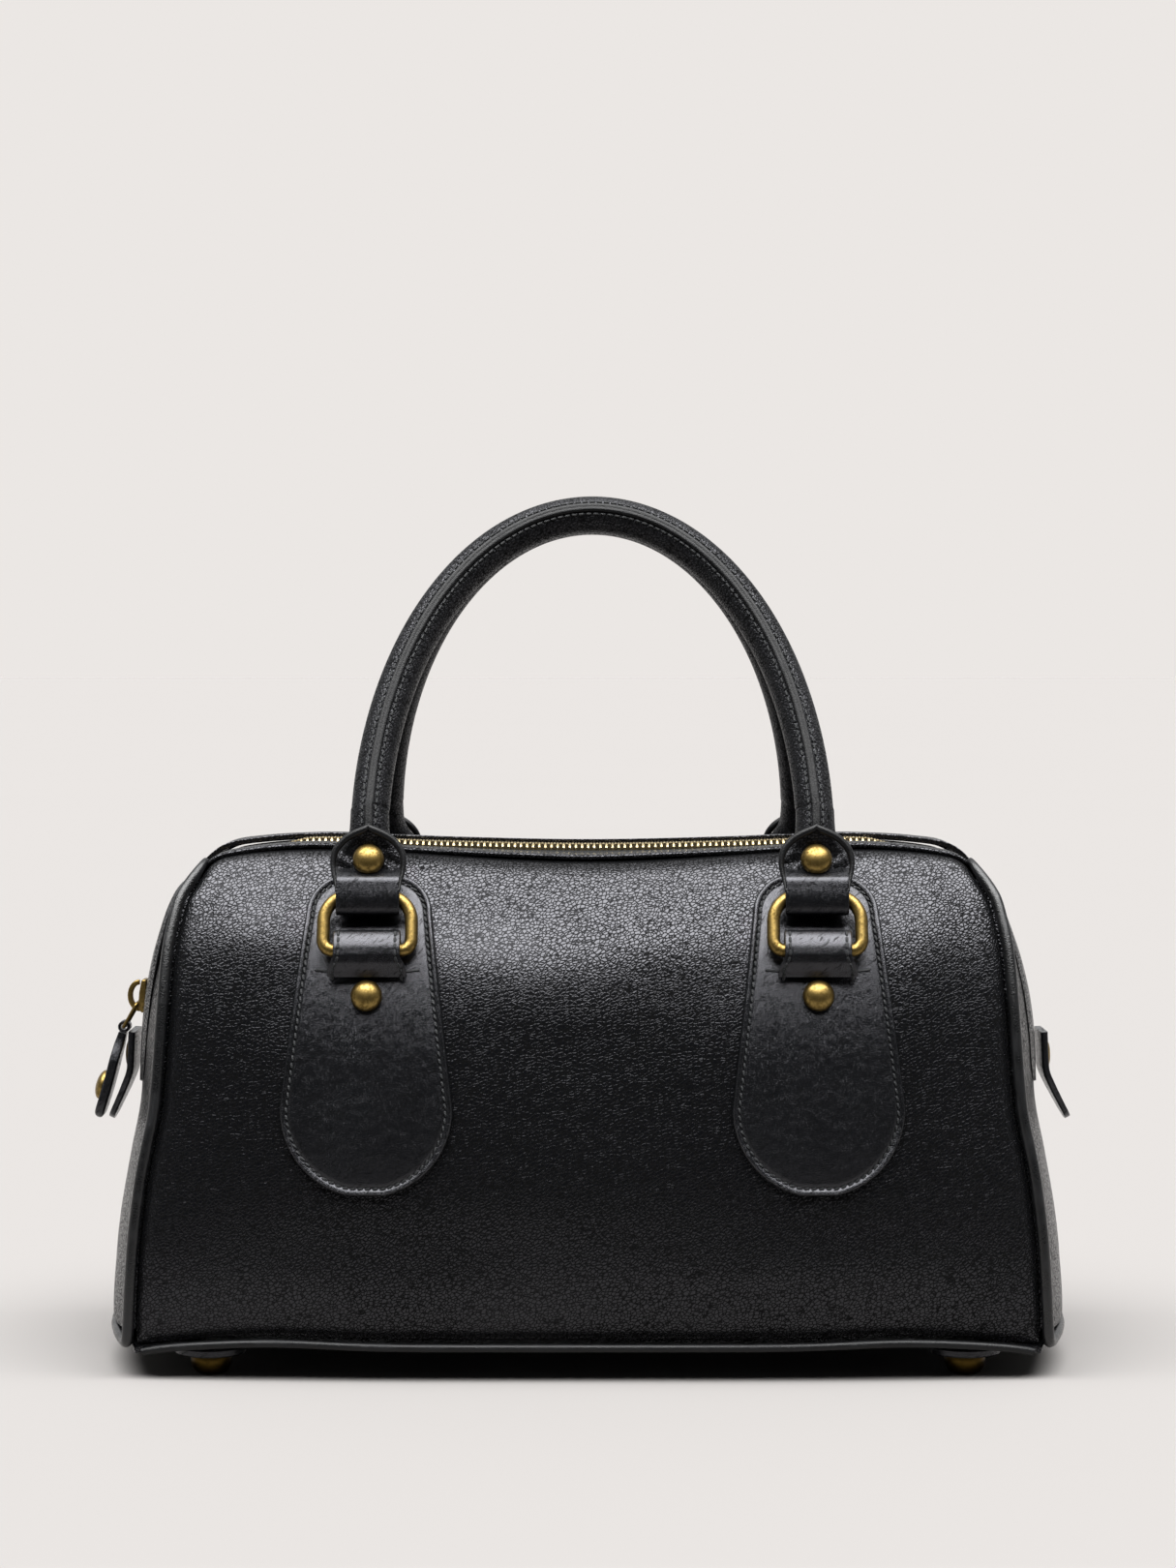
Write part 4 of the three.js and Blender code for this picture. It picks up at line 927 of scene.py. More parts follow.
# The name of each finish, what makes it, and its settings
FINISHES = {
    "pebbled": ("leather_pebbled", pebbled_finish, dict(grain=1.0, depth=0.00011, rough=0.17)),
    "handle": ("leather_handle", pebbled_finish, dict(grain=0.9, depth=0.00015, rough=0.32)),
    "smooth": ("leather_smooth", smooth_finish, dict(rough=0.19, depth=0.00006)),
    "edging": ("leather_edging", edging_finish, dict(rough=0.27, shine=0.5)),
    "ridge": ("leather_ridge", edging_finish, dict(rough=0.36, shine=0.26)),
    "brass": ("brass_aged", brass_finish, dict(bright="brass", dark="patina", rough=0.32, speckle=900.0)),
    # The feet's brass takes the dark patina colour on both sides: painted shade for their place under the
    # bag, on top of the brass's own aging
    "foot": ("brass_foot", brass_finish, dict(bright="patina", dark="patina", rough=0.3, speckle=900.0)),
    "teeth": ("zip_teeth", brass_finish, dict(bright="teeth", dark="brass", rough=0.22, speckle=1500.0)),
    "cloth": ("zip_cloth", cloth_finish, {}),
    "thread": ("thread", thread_finish, {}),
    "floor": ("floor", floor_finish, {}),
}
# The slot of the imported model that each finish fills
SLOTS = {
    "pebbled": "leather_pebbled",
    "handle": "leather_pebbled",
    "smooth": "leather_smooth",
    "edging": "leather_smooth",
    "ridge": "leather_smooth",
    "brass": "brass_aged",
    "foot": "brass_aged",
    "teeth": "zip_teeth",
    "cloth": "zip_cloth",
    "thread": "zip_cloth",
}
# The word added to the name of a node that is covered with a slot's finish
STUFF = {
    "leather_pebbled": "leather",
    "leather_smooth": "leather",
    "brass_aged": "brass",
    "zip_cloth": "cloth",
}
made_finishes = {}


def finish(kind):
    """A finish, made the first time that a piece asks for it."""
    if kind not in made_finishes:
        name, maker, settings = FINISHES[kind]
        material = bpy.data.materials.new(name)
        material.use_nodes = True
        nodes = Nodes(material.node_tree)
        maker(nodes, nodes.place(), bpy.context.scene.satchel_colours, **settings)
        made_finishes[kind] = material
    return made_finishes[kind]


def piece(name, shape, kind, body="bag", stands_for=None):
    """A piece of the satchel from a shape in millimetres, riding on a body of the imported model."""
    verts, faces = shape
    mesh = bpy.data.meshes.new(name)
    mesh.from_pydata((np.reshape(verts, (-1, 3)) * MM).tolist(), [], faces)
    bm = bmesh.new()
    bm.from_mesh(mesh)
    bmesh.ops.remove_doubles(bm, verts=bm.verts, dist=1e-7)
    bmesh.ops.recalc_face_normals(bm, faces=bm.faces)
    bm.to_mesh(mesh)
    bm.free()
    mesh.shade_smooth()
    mesh.set_sharp_from_angle(angle=SHARP)
    mesh.materials.append(finish(kind))
    made = bpy.data.objects.new(name, mesh)
    bpy.context.scene.collection.objects.link(made)
    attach(made, body)
    if stands_for:
        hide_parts(stands_for)


def cover(node, shape, kind, turn=(1, 1, 1), body="bag"):
    """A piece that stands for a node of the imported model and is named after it."""
    piece(f"{node}_{STUFF[SLOTS[kind]]}", moved(shape, turn), kind, body, node)


def sew(node, shape, turn, body="bag"):
    """The stitches of a piece."""
    piece(f"{node}_stitches", moved(shape, turn), "thread", body)


def stations(halves=HALVES):
    """Every handle station: its name, its side of the middle and its half of the bag."""
    for half in halves:
        for side, sign in zip(half["sides"], (-1, 1)):
            yield f"{half['depth']}_{side}", sign, half


# Walls


def crowd(part):
    """Columns from -1 to 1, closer together towards the ends."""
    return part * (1 + CROWDING - CROWDING * part * part)


def slump(x, height):
    """How far the soft leather stands out at each point."""
    out = np.zeros_like(x)
    for along, level, wide, high, depth in zip(*SLUMP.values()):
        out += depth * hump(x, along, wide) * hump(height, level, high)
    return out * bpy.context.scene.satchel_sizes.slump


def seam_roll(distance, reach=SEAM_ROLL, depth=SEAM_ROLL_DEPTH):
    """How far leather turns in as it comes to a seam."""
    return depth * np.clip(1 - distance / reach, 0, 1) ** 2


def turned_in(grid, outward):
    """A wall's grid with its side edges turned in behind the corded seam, as seam allowances."""
    normals = grid_normals(grid)
    left = [grid[:, :1] - outward * out - normals[:, :1] * deep for out, deep in reversed(SEAM_ALLOWANCE)]
    right = [grid[:, -1:] + outward * out - normals[:, -1:] * deep for out, deep in SEAM_ALLOWANCE]
    return np.concatenate([*left, grid, *right], 1)


def panel_shape():
    across, place = np.meshgrid(crowd(np.linspace(-1, 1, PANEL_GRID[0])), np.linspace(0, 1, PANEL_GRID[1]))
    grid = front_point(across, place)
    row = row_at(BODY, place)
    to_end = (1 - np.abs(across)) * row["half_width"]
    to_base = row["height"] - BODY_FOOT["height"]
    fade = ease(to_end, SLUMP_CLEAR, SLUMP_FULL_END) * ease(to_base, SLUMP_CLEAR, SLUMP_FULL_BASE)
    out = slump(grid[..., 0], row["height"]) * fade * (1 - ease(row["height"], *SLUMP_TOP))
    inward = seam_roll(to_end) + seam_roll(to_base, BASE_ROLL, BASE_ROLL_DEPTH)
    return walled(turned_in(grid + grid_normals(grid) * (out - inward)[..., None], X_AXIS), PANEL_WALL)


def gusset_shape():
    places = np.linspace(body_place(GUSSET_LOW), body_place(GUSSET_TOP), GUSSET_GRID[1])
    across, place = np.meshgrid(crowd(np.linspace(-1, 1, GUSSET_GRID[0])), places)
    grid = end_point(across, place)
    to_seam = (1 - np.abs(across)) * seam_depth(row_at(BODY, place))
    rolled = grid - grid_normals(grid) * (GUSSET_ROLL * seam_roll(to_seam))[..., None]
    grid = turned_in(rolled, Y_AXIS)
    middle = (grid[:-1, :-1] + grid[1:, 1:]) / 2
    keep = ~((np.abs(middle[..., 1]) < NOTCH_HALF) & (middle[..., 2] > NOTCH_LOW))
    return walled(grid, PANEL_WALL, keep)


class SATCHEL_OT_walls(bpy.types.Operator):
    """Front and back panels, gussets and base"""

    bl_idname = "satchel.walls"
    bl_label = "Walls"

    def execute(self, context):
        for half in HALVES:
            cover(f"{half['depth']}_panel", panel_shape(), "pebbled", half["turn"])
        for side, turn in ENDS:
            cover(f"{side}_gusset", gusset_shape(), "pebbled", turn)
        along, across = np.meshgrid(np.linspace(-1, 1, BASE_GRID[0]), np.linspace(1, -1, BASE_GRID[1]))
        cover("base_panel", walled(base_point(along, across), PANEL_WALL), "pebbled")
        return {"FINISHED"}


# Corded seams


def end_piping_path():
    across = END_SEAM_FOOT["across"]
    foot = points(bowed_width(BODY_FOOT, across), across * seam_depth(BODY_FOOT), END_SEAM_FOOT["height"])
    row = row_at(BODY, np.linspace(body_place(SEAM_TURN), body_place(END_PIPING_TOP), 24))
    side = points(row["half_width"], seam_depth(row), settle(row["half_width"], row["height"]))
    back = np.concatenate([foot, side])
    front = back[:0:-1] * (1, -1, 1)
    return smooth_path(np.concatenate([front, back]), 320)


def base_piping_path():
    across = np.linspace(-1, 1, 120)
    x = across * (BODY_FOOT["half_width"] - 2 * END_SEAM)
    foot = BODY_FOOT["height"]
    z = BASE_SEAM_HEIGHT + settle(x, foot) - foot - toe(across, foot)
    return points(x, -bowed_depth(BODY_FOOT, across), z)


class SATCHEL_OT_seams(bpy.types.Operator):
    """Corded seams round both ends and along the base"""

    bl_idname = "satchel.seams"
    bl_label = "Corded Seams"

    def execute(self, context):
        path = end_piping_path()
        tuck = ease(path[:, 2], END_PIPING_TUCK, END_PIPING_TOP)
        end_cord = wire(path, X_AXIS, END_PIPING_RADIUS * mix(1.0, END_PIPING_TUCKED, tuck))
        base_cord = wire(base_piping_path(), Z_AXIS, BASE_PIPING_RADIUS)
        for side, turn in ENDS:
            cover(f"end_piping_{side}", end_cord, "edging", turn)
        for half in HALVES:
            cover(f"base_piping_{half['depth']}", base_cord, "ridge", half["turn"])
        return {"FINISHED"}


# Zip


def band_shape(depth):
    """A band beside the zip, with a skived or a full inner edge and a rolled outer edge."""
    bead = bpy.context.scene.satchel_sizes.band_bead / MM / 2
    inner_edge, soft, low = BAND_INNER_EDGE[depth], BAND_EDGE_SOFT, BAND_LIFT
    # Each point of the section: its share of the width, a shift sideways, and its height in two parts
    section = [(0, soft, low, 0), (0, 0, low, soft)]
    section += [(0, 0, low, inner_edge - soft), (0, soft, low, inner_edge)]
    for part in np.linspace(0.08, 0.88, 9):
        section.append((part, 0, low, mix(inner_edge, BAND_WALL, ease(part, 0, 0.5))))
    for turn in np.radians(np.linspace(90, -90, 12)):
        section.append((1, bead * (np.cos(turn) - 1), BAND_EDGE_LOW, bead * (1 + np.sin(turn))))
    section += [(1, -2 * bead, low, 0), (0.7, 0, low, 0), (0.35, 0, low, 0)]
    share, offset, above, rise = np.array(section).T
    distance = np.linspace(0, ZIP_LENGTH, 460)[:, None]
    centre = zip_frame(distance)[0]
    # The back band is drawn at the front and carried over by half a turn, so its ends change places
    along = centre[..., 0] if depth == "front" else -centre[..., 0]
    right, left = (ease(centre[..., 2], *heights) for heights in (BAND_FLAT_RIGHT, BAND_FLAT_LEFT))
    full = mix(BAND_FLAT, 1.0, np.where(along > 0, right, left))
    to_end = np.minimum(distance, ZIP_LENGTH - distance)
    gone = np.maximum(BAND_CORNER - to_end, 0)
    outer = BAND_HALF - BAND_CORNER + np.sqrt(BAND_CORNER**2 - gone**2)
    side = BAND_INNER + share * (outer - BAND_INNER) + offset * full
    # Down the ends the outer edge is skived to nothing
    edge = np.where(share == 1, (full - BAND_FLAT) / (1 - BAND_FLAT), full)
    level = (above + rise) * np.maximum(edge, BAND_EDGE_LEAST)
    if depth == "front":
        on_top = ease(centre[..., 2], BAND_TURN_LOW, BAND_TURN_HIGH)
        face = np.interp(np.abs(centre[..., 0]), BAND_FRONT["along"], BAND_FRONT["level"])
        flat = face - BAND_WALL + np.minimum(rise, BAND_WALL)
        level = mix(level, flat + band_drop(centre) * (side / BAND_HALF) ** 2, on_top)
    return loft(zip_point(distance, -side, level))


def tape_shape():
    distance = np.linspace(TAPE_END, ZIP_LENGTH - TAPE_END, 320)[:, None]
    high = BAND_LIFT - FIT - CHAIN_SUNK
    side = np.array([CHAIN_HALF + FIT, TAPE_HALF, TAPE_HALF, CHAIN_HALF + FIT])
    above = np.array([high - TAPE_WALL, high - TAPE_WALL, high, high])
    return loft(zip_point(distance, -side, above))


def tooth_shape():
    angle = around(10) + np.pi / 10
    side, half, low, high = (column[:, None] for column in TOOTH.values())
    rise = 0.5 + 0.5 * boxy(np.sin(angle))
    return loft(points(half * boxy(np.cos(angle)), side, mix(low, high, rise)))


def chain_shape():
    pitch = bpy.context.scene.satchel_sizes.tooth_pitch / MM
    start = zip_distance(CHAIN_RIGHT_END)
    end = ZIP_LENGTH - zip_distance(CHAIN_LEFT_END)
    sides = []
    for sign, shift in ((-1, 0), (1, pitch / 2)):
        centre, run, out = zip_frame(np.arange(start + shift, end, pitch))
        sunk = mix(CHAIN_SUNK, CHAIN_SUNK_ENDS, ease(np.abs(centre[:, :1]), *CHAIN_SUNK_AT))
        side = np.broadcast_to(sign * Y_AXIS, run.shape)
        sides.append(repeated(tooth_shape(), centre - out * sunk, np.stack([run, side, out], 1)))
    return joined(*sides)


class SATCHEL_OT_zip(bpy.types.Operator):
    """Zip bands, tapes and the closed row of teeth"""

    bl_idname = "satchel.zip"
    bl_label = "Zip"

    def execute(self, context):
        for half in HALVES:
            depth, turn = half["depth"], half["turn"]
            cover(f"zip_band_{depth}", band_shape(depth), "pebbled", turn)
            cover(f"zip_tape_{depth}", tape_shape(), "cloth", turn)
        piece("zip_teeth", chain_shape(), "teeth", stands_for="zip_chain")
        return {"FINISHED"}


# Zip pull and end tabs


def stud_shape(centre, axis, scale=1.0, post=1.2):
    """A dome stud on a post that goes into the leather."""
    angle = np.radians(np.linspace(8, 90, 14))
    collar, thin = STUD_COLLAR * STUD_HIGH, STUD_POST * STUD_RADIUS
    profile = [(0, -post), (thin, -post), (thin, 0), (STUD_FOOT * STUD_RADIUS, 0)]
    profile += [(STUD_RADIUS, 0.35 * collar * scale)]
    dome = (STUD_HIGH - collar) * scale
    profile += [(STUD_RADIUS * math.cos(a), collar * scale + dome * math.sin(a)) for a in angle]
    return turned(profile, centre, axis)


def end_tab_path(side):
    level = BAND_LIFT + BAND_WALL + FIT + TAB_WALL / 2
    held = np.maximum(END_TAB_ROUTE["height"], ZIP_END_LEVELS[-1] + 2)
    face = np.array([zip_point(zip_distance(height), 0.0, 0.0)[0] for height in held])
    corners = points(face + level + END_TAB_FLARE[side] * END_TAB_ROUTE["out"], 0, END_TAB_ROUTE["height"])
    return smooth_path(corners, 60)


def end_tab_shape(path):
    part = np.linspace(0, 1, len(path))
    half_wide = mix(END_TAB_WIDE, END_TAB_TAIL_WIDE, ease(part, *END_TAB_TAPER)) / 2
    half_thick = TAB_WALL / 2 * mix(1.0, END_TAB_THIN, ease(part, 0.5, 1.0))
    return strap(path, Y_AXIS, half_thick, half_wide * round_off(part, *END_TAB_TIP, 0.02))


def pull_path():
    return smooth_path(points(PULL_ROUTE["along"], 0, PULL_ROUTE["height"]), 60)


def pull_shape():
    """The puller: two glued layers round an eye, with a rounded tip."""
    path = pull_path()
    part = np.linspace(0, 1, len(path))
    half_wide = mix(PULL_NECK_WIDE, PULL_WIDE, ease(part, 0.1, 0.4)) / 2 * round_off(part, *PULL_TIP, 0.02)
    half_thick = PULL_WALL / 2 * mix(PULL_NECK_THIN, 1.0, ease(part, 0.05, 0.2))
    half_thick *= round_off(part, *PULL_TIP_THIN, 0.1)
    legs = strap(path[4:], Y_AXIS, half_thick[4:], half_wide[4:], PULL_SPLIT)
    angle = around(40)
    # The section of the fold round the eye, as radii and shares of the half width
    soft = PULL_FOLD - 0.2
    section = [(PULL_EYE, 0.92), (PULL_EYE, -0.92), (soft, -1)]
    section += [(PULL_FOLD, -0.92), (PULL_FOLD, 0.92), (soft, 1)]
    fold = []
    for radius, half in section:
        offset = points(radius * np.cos(angle), half * PULL_NECK_WIDE / 2, radius * np.sin(angle))
        fold.append(path[0] + offset)
    return joined(legs, loft(np.stack(fold, 1), ring=True))


def slider_seat():
    return zip_point(ZIP_LENGTH - zip_distance(SLIDER_LEVEL), 0.0, 0.0)


def slider_shape():
    """Slider: a wedge body and an open bridge, drawn with the front to the bag's left."""
    half = SLIDER_LONG / 2
    nose = [
        (SLIDER_LOW, -half),
        (SLIDER_HIGH - 1.0, -half),
        (SLIDER_HIGH, -half + 2.0),
        (SLIDER_HIGH - 0.3, 0.2 * half),
        (SLIDER_HIGH - 1.2, half),
        (SLIDER_LOW, half),
    ]
    body = softened(nose, SLIDER_WIDE / 2, 0.45)
    turn = np.linspace(-0.72, 0.5, 48) * np.pi
    deep, long = BRIDGE_DEEP - BRIDGE_WIRE / 2, BRIDGE_LONG - BRIDGE_WIRE / 2
    path = points(0, BRIDGE_OUT + deep * np.cos(turn), long * np.sin(turn))
    end = np.minimum(np.linspace(0, 1, 48), np.linspace(1, 0, 48))
    half_wide = BRIDGE_WIDE / 2 * mix(0.75, 1.0, ease(end, 0.0, 0.06))
    verts, faces = joined(body, strap(path, X_AXIS, BRIDGE_WIRE / 2, half_wide))
    across, front, up = verts.T
    return slider_seat() + points(-front, across, up), faces


def frame_path(wide, high, low_corner, top_corner):
    """Points of x and y round a frame with straight bars, its lower bar centred on the origin."""
    corners = (
        (wide / 2 - low_corner, low_corner, low_corner, -0.5),
        (wide / 2 - top_corner, high - top_corner, top_corner, 0.0),
        (top_corner - wide / 2, high - top_corner, top_corner, 0.5),
        (low_corner - wide / 2, low_corner, low_corner, 1.0),
    )
    quarter = np.linspace(0, 0.5, 12)
    found = []
    for x, y, radius, start in corners:
        angle = np.pi * (start + quarter)
        found.append(np.stack([x + radius * np.cos(angle), y + radius * np.sin(angle)], -1))
    return even(np.concatenate([*found, found[0][:1]]), 121)[:-1]


def pull_ring_shape():
    eye = pull_path()[0]
    hang = slider_seat() + (-PULL_RING_OUT, 0, PULL_RING_UP) - eye
    high = np.linalg.norm(hang)
    across, up = frame_path(PULL_RING_WIDE, high, PULL_RING_CORNER, PULL_RING_CORNER).T
    path = eye + up[:, None] * hang / high + points(0, across, 0)
    return wire(path, unit(np.cross(hang, Y_AXIS)), PULL_RING_WIRE / 2, 12, ring=True)


class SATCHEL_OT_zip_pull(bpy.types.Operator):
    """Slider, pull ring, puller and the tabs over the zip's ends"""

    bl_idname = "satchel.zip_pull"
    bl_label = "Zip Pull and End Tabs"

    def execute(self, context):
        piece("slider_brass", slider_shape(), "brass", stands_for="zip_slider")
        cover("pull_ring", pull_ring_shape(), "brass")
        piece("puller_leather", pull_shape(), "smooth", stands_for="pull_strap")
        path = pull_path()
        at = int(PULL_STUD_PLACE * (len(path) - 1))
        run = directions(path)[at]
        out = np.array([run[2], 0, -run[0]])
        stud = stud_shape(path[at] + out * (PULL_WALL / 2), out, PULL_STUD_SCALE)
        piece("puller_stud_brass", stud, "brass", stands_for="pull_stud")
        for side, turn in ENDS:
            path = end_tab_path(side)
            cover(f"end_tab_{side}", end_tab_shape(path), "smooth", turn)
            at = np.argmin(np.abs(path[:, 2] - END_TAB_STUD_HEIGHT))
            stud = stud_shape(path[at] + X_AXIS * (TAB_WALL / 2), X_AXIS, END_TAB_STUD_SCALE)
            cover(f"end_tab_stud_{side}", stud, "brass", turn)
        return {"FINISHED"}


# Patches and ring loops


def patch_outline():
    """Half widths and heights round a patch, counter-clockwise from the tip."""
    centre = PATCH_LOW + math.sqrt(PATCH_ROUND**2 - PATCH_TIP_HALF**2)
    height = mix(PATCH_LOW, PATCH_TOP, 0.5 - 0.5 * np.cos(np.linspace(0, np.pi, 160)))
    below = np.sqrt(np.maximum(PATCH_ROUND**2 - (centre - height) ** 2, 0))
    taper = mix(PATCH_ROUND, PATCH_TOP_HALF, (height - centre) / (PATCH_TOP - centre))
    left = np.maximum(PATCH_CORNER - (PATCH_TOP - height), 0)
    above = taper - PATCH_CORNER + np.sqrt(PATCH_CORNER**2 - left**2)
    half = np.where(height < centre, below, above)
    right = np.stack([half, height], -1)
    round_about = np.concatenate([right, right[::-1] * (-1, 1), right[:1]])
    return even(round_about, 241)[:-1]


def inset(outline, distance):
    """The outline moved in by a distance."""
    run = unit(np.roll(outline, -1, axis=0) - np.roll(outline, 1, axis=0))
    return outline + np.stack([-run[:, 1], run[:, 0]], -1) * distance


def patch_rise(distance):
    """Height of a patch's face above the panel, at distances in from its edge."""
    corner = round_off(-distance, -PATCH_EDGE, PATCH_EDGE, 0)
    rim = PATCH_RIM * hump(distance, PATCH_EDGE, PATCH_RIM_SPREAD)
    groove = PATCH_GROOVE * hump(distance, PATCH_STITCH_IN, PATCH_GROOVE_SPREAD)
    swell = PATCH_SWELL * ease(distance, PATCH_STITCH_IN, PATCH_SWELL_IN)
    return PATCH_SUNK + (SEAT + PATCH_WALL - 2 * PATCH_SUNK) * corner + rim - groove + swell


def on_front(outline, station, rise):
    """Points above the front panel from distances beside a station and heights."""
    point, normal = front_at(station + outline[..., 0], outline[..., 1])
    return point + normal * rise, normal


def patch_shape(station):
    outline = patch_outline()
    middle = np.array([0, (PATCH_LOW + PATCH_TOP) / 2 - PATCH_MIDDLE_DROP])
    rings = [(inset(outline, step), patch_rise(np.array(step))) for step in PATCH_STEPS]
    last, full = rings[-1][0], patch_rise(np.array(PATCH_SWELL_IN))
    rings += [(middle + (last - middle) * share, full) for share in PATCH_SHARES]
    under = [(middle + (outline - middle) * share, 0.1) for share in (0.0, 0.5, 1.0)]
    sections = [on_front(flat, station, rise)[0] for flat, rise in under + rings]
    return loft(np.array(sections))


def patch_stitches(station):
    outline = inset(patch_outline(), PATCH_STITCH_IN)
    path, normal = on_front(outline, station, patch_rise(np.array(PATCH_STITCH_IN)) + STITCH_LIFT["patch"])
    closed = np.concatenate([path, path[:1]]), np.concatenate([normal, normal[:1]])
    return stitches(*closed, slant=0.3, ring=True)


LOOP_INNER = RING_WIRE / 2 + RING_PLAY
LOOP_OUTER = LOOP_INNER + LOOP_WALL
SEAT_POINT, SEAT_NORMAL = front_at(STATION_X, HINGE_SEAT_HEIGHT)
SEAT_UP = unit(np.array([0, SEAT_NORMAL[2], -SEAT_NORMAL[1]]))
SEAT_OUT = np.array([0, -SEAT_UP[2], SEAT_UP[1]])
HINGE = np.array([0, SEAT_POINT[1], SEAT_POINT[2]]) + SEAT_OUT * (SEAT + PATCH_WALL + FIT + LOOP_OUTER)
SEAT_AXES = SEAT_OUT, SEAT_UP


def off_hinge(axes, x, front, up):
    """Points from the handle's hinge: along the bag, and to the front and up along two axes."""
    ahead, upward = axes
    flat = HINGE + np.asarray(front)[..., None] * ahead + np.asarray(up)[..., None] * upward
    return flat + points(x, 0, 0)


def loop_line():
    """The loop's middle line, front and up: from the back layer's end over the bar to the front's end."""
    middle = LOOP_INNER + LOOP_WALL / 2
    over = np.linspace(np.pi, LOOP_OPEN, 30)
    arc = np.stack([middle * np.cos(over), middle * np.where(over > 0, LOOP_TALL, 1) * np.sin(over)], -1)
    back = np.array([[-middle, -LOOP_DOWN], [-middle, -0.5 * LOOP_DOWN]])
    foot = np.stack(list(LOOP_FOOT.values()), -1)
    return even(np.concatenate([back, arc, foot]), 70)


def loop_half(up):
    return mix(LOOP_WIDE, LOOP_FLARE, ease(-up, LOOP_FLARE_FROM, LOOP_DOWN)) / 2


def loop_shape(station):
    line = loop_line()
    path = off_hinge(SEAT_AXES, station, *line.T)
    half_thick = LOOP_WALL / 2 * mix(1.0, LOOP_THIN, ease(np.linspace(0, 1, len(path)), 0.85, 1.0))
    return strap(path, X_AXIS, half_thick, loop_half(line[:, 1]))


def loop_stitches(station):
    """Stitches down both sides of the loop's front layer, and one short slit stitch by each lower corner."""
    line = loop_line()[LOOP_STITCH_FROM:]
    path = off_hinge(SEAT_AXES, station, *line.T)
    face = unit(np.cross(X_AXIS, directions(path)))
    face *= np.sign(face @ SEAT_OUT)[:, None]
    height = PATCH_STUD_HEIGHT + LOOP_SLIT["up"]
    rows = []
    for sign in (-1, 1):
        side = points(sign * (loop_half(line[:, 1]) - LOOP_STITCH_IN), 0, 0)
        rows.append(stitches(path + side + face * (LOOP_WALL / 2 + STITCH_LIFT["loop"]), face))
        slit = np.stack([sign * (LOOP_FLARE / 2 + LOOP_SLIT["beside"]), height], -1)
        rows.append(stitches(*on_front(slit, station, SEAT + PATCH_WALL + STITCH_LIFT["slit"])))
    return joined(*rows)


class SATCHEL_OT_patches(bpy.types.Operator):
    """Handle patches and the loops that hold the rings, with their stitches"""

    bl_idname = "satchel.patches"
    bl_label = "Patches and Ring Loops"

    def execute(self, context):
        for name, sign, half in stations():
            station, turn = sign * STATION_X + half["shift"], half["turn"]
            cover(f"patch_{name}", patch_shape(station), "smooth", turn)
            sew(f"patch_{name}", patch_stitches(station), turn)
            cover(f"ring_loop_{name}", loop_shape(station), "smooth", turn)
            sew(f"ring_loop_{name}", loop_stitches(station), turn)
        return {"FINISHED"}


# Handles, rings and studs


HANDLE_LEAN = math.asin((-HINGE[1] - HANDLE_RADIUS - HANDLES_APART / 2) / (HANDLE_BASE + HANDLE_RISE))
HANDLE_UP = np.array([0, math.sin(HANDLE_LEAN), math.cos(HANDLE_LEAN)])
HANDLE_FRONT = np.array([0, -math.cos(HANDLE_LEAN), math.sin(HANDLE_LEAN)])
HANDLE_AXES = HANDLE_FRONT, HANDLE_UP


def handle_line():
    """Sections of the tube from the left neck over the arch to the right neck."""
    neck = row_at(NECK, np.linspace(0, 0.985, 48))
    angle = np.linspace(np.pi - HANDLE_START, HANDLE_START, 150)
    run = unit(np.stack([STATION_X * np.sin(angle), -HANDLE_RISE * np.cos(angle)], -1))
    tube = np.full_like(angle, HANDLE_RADIUS)
    upright = np.ones_like(neck["up"])
    left = {"x": -STATION_X * upright, "run_x": 0 * upright, "run_up": upright, **neck}
    arch = {
        "x": STATION_X * np.cos(angle),
        "run_x": run[:, 0],
        "run_up": run[:, 1],
        "up": HANDLE_BASE + HANDLE_RISE * np.sin(angle),
        "half_wide": tube,
        "half_deep": tube,
        "back": 0 * tube,
    }
    right = {name: column[::-1] for name, column in left.items()}
    right["x"], right["run_up"] = -right["x"], -right["run_up"]
    return {name: np.concatenate([left[name], arch[name], right[name]]) for name in arch}


def handle_shape(shift):
    """The rolled tube, opening at each end into a hollow cup round the stud."""
    line = {name: column[:, None] for name, column in handle_line().items()}
    angle = around(56)
    wide = line["half_wide"] * np.cos(angle)
    front = line["half_deep"] * np.sin(angle)
    on_neck = 1 - ease(line["up"], CUP_LOW + 3, CUP_HIGH + 2)
    on_neck *= ease(line["up"], CUP_LOW - 1.5, CUP_LOW + 1.5) * (line["run_x"] == 0)
    hollow = CUP_DEPTH * on_neck * np.clip(np.sin(angle), 0, 1) ** 1.5
    reach = np.hypot(wide, line["up"] - HANDLE_STUD_UP)
    spokes = np.sin(PUCKER_FOLDS * np.arctan2(line["up"] - HANDLE_STUD_UP, wide) + PUCKER_TWIST * reach)
    near = ease(reach, *PUCKER_RISE) * (1 - ease(reach, *PUCKER_FALL))
    pucker = PUCKER * spokes * near * (np.sin(angle) > 0.15)
    front = front - hollow + pucker * on_neck
    x = shift + line["x"] + wide * line["run_up"]
    return loft(off_hinge(HANDLE_AXES, x, front - line["back"], line["up"] - wide * line["run_x"]))


def on_tube(shift, wide, rise):
    """Points beside the middle of the tube's front, from one cup's apex to the other's."""
    line = handle_line()
    keep = line["up"] > CUP_APEX
    line = {name: column[keep][:, None] for name, column in line.items()}
    tube = line["half_deep"] * np.sqrt(np.clip(1 - (wide / line["half_wide"]) ** 2, 0, 1))
    x = shift + line["x"] + wide * line["run_up"]
    return off_hinge(HANDLE_AXES, x, tube - line["back"] + rise, line["up"] - wide * line["run_x"])


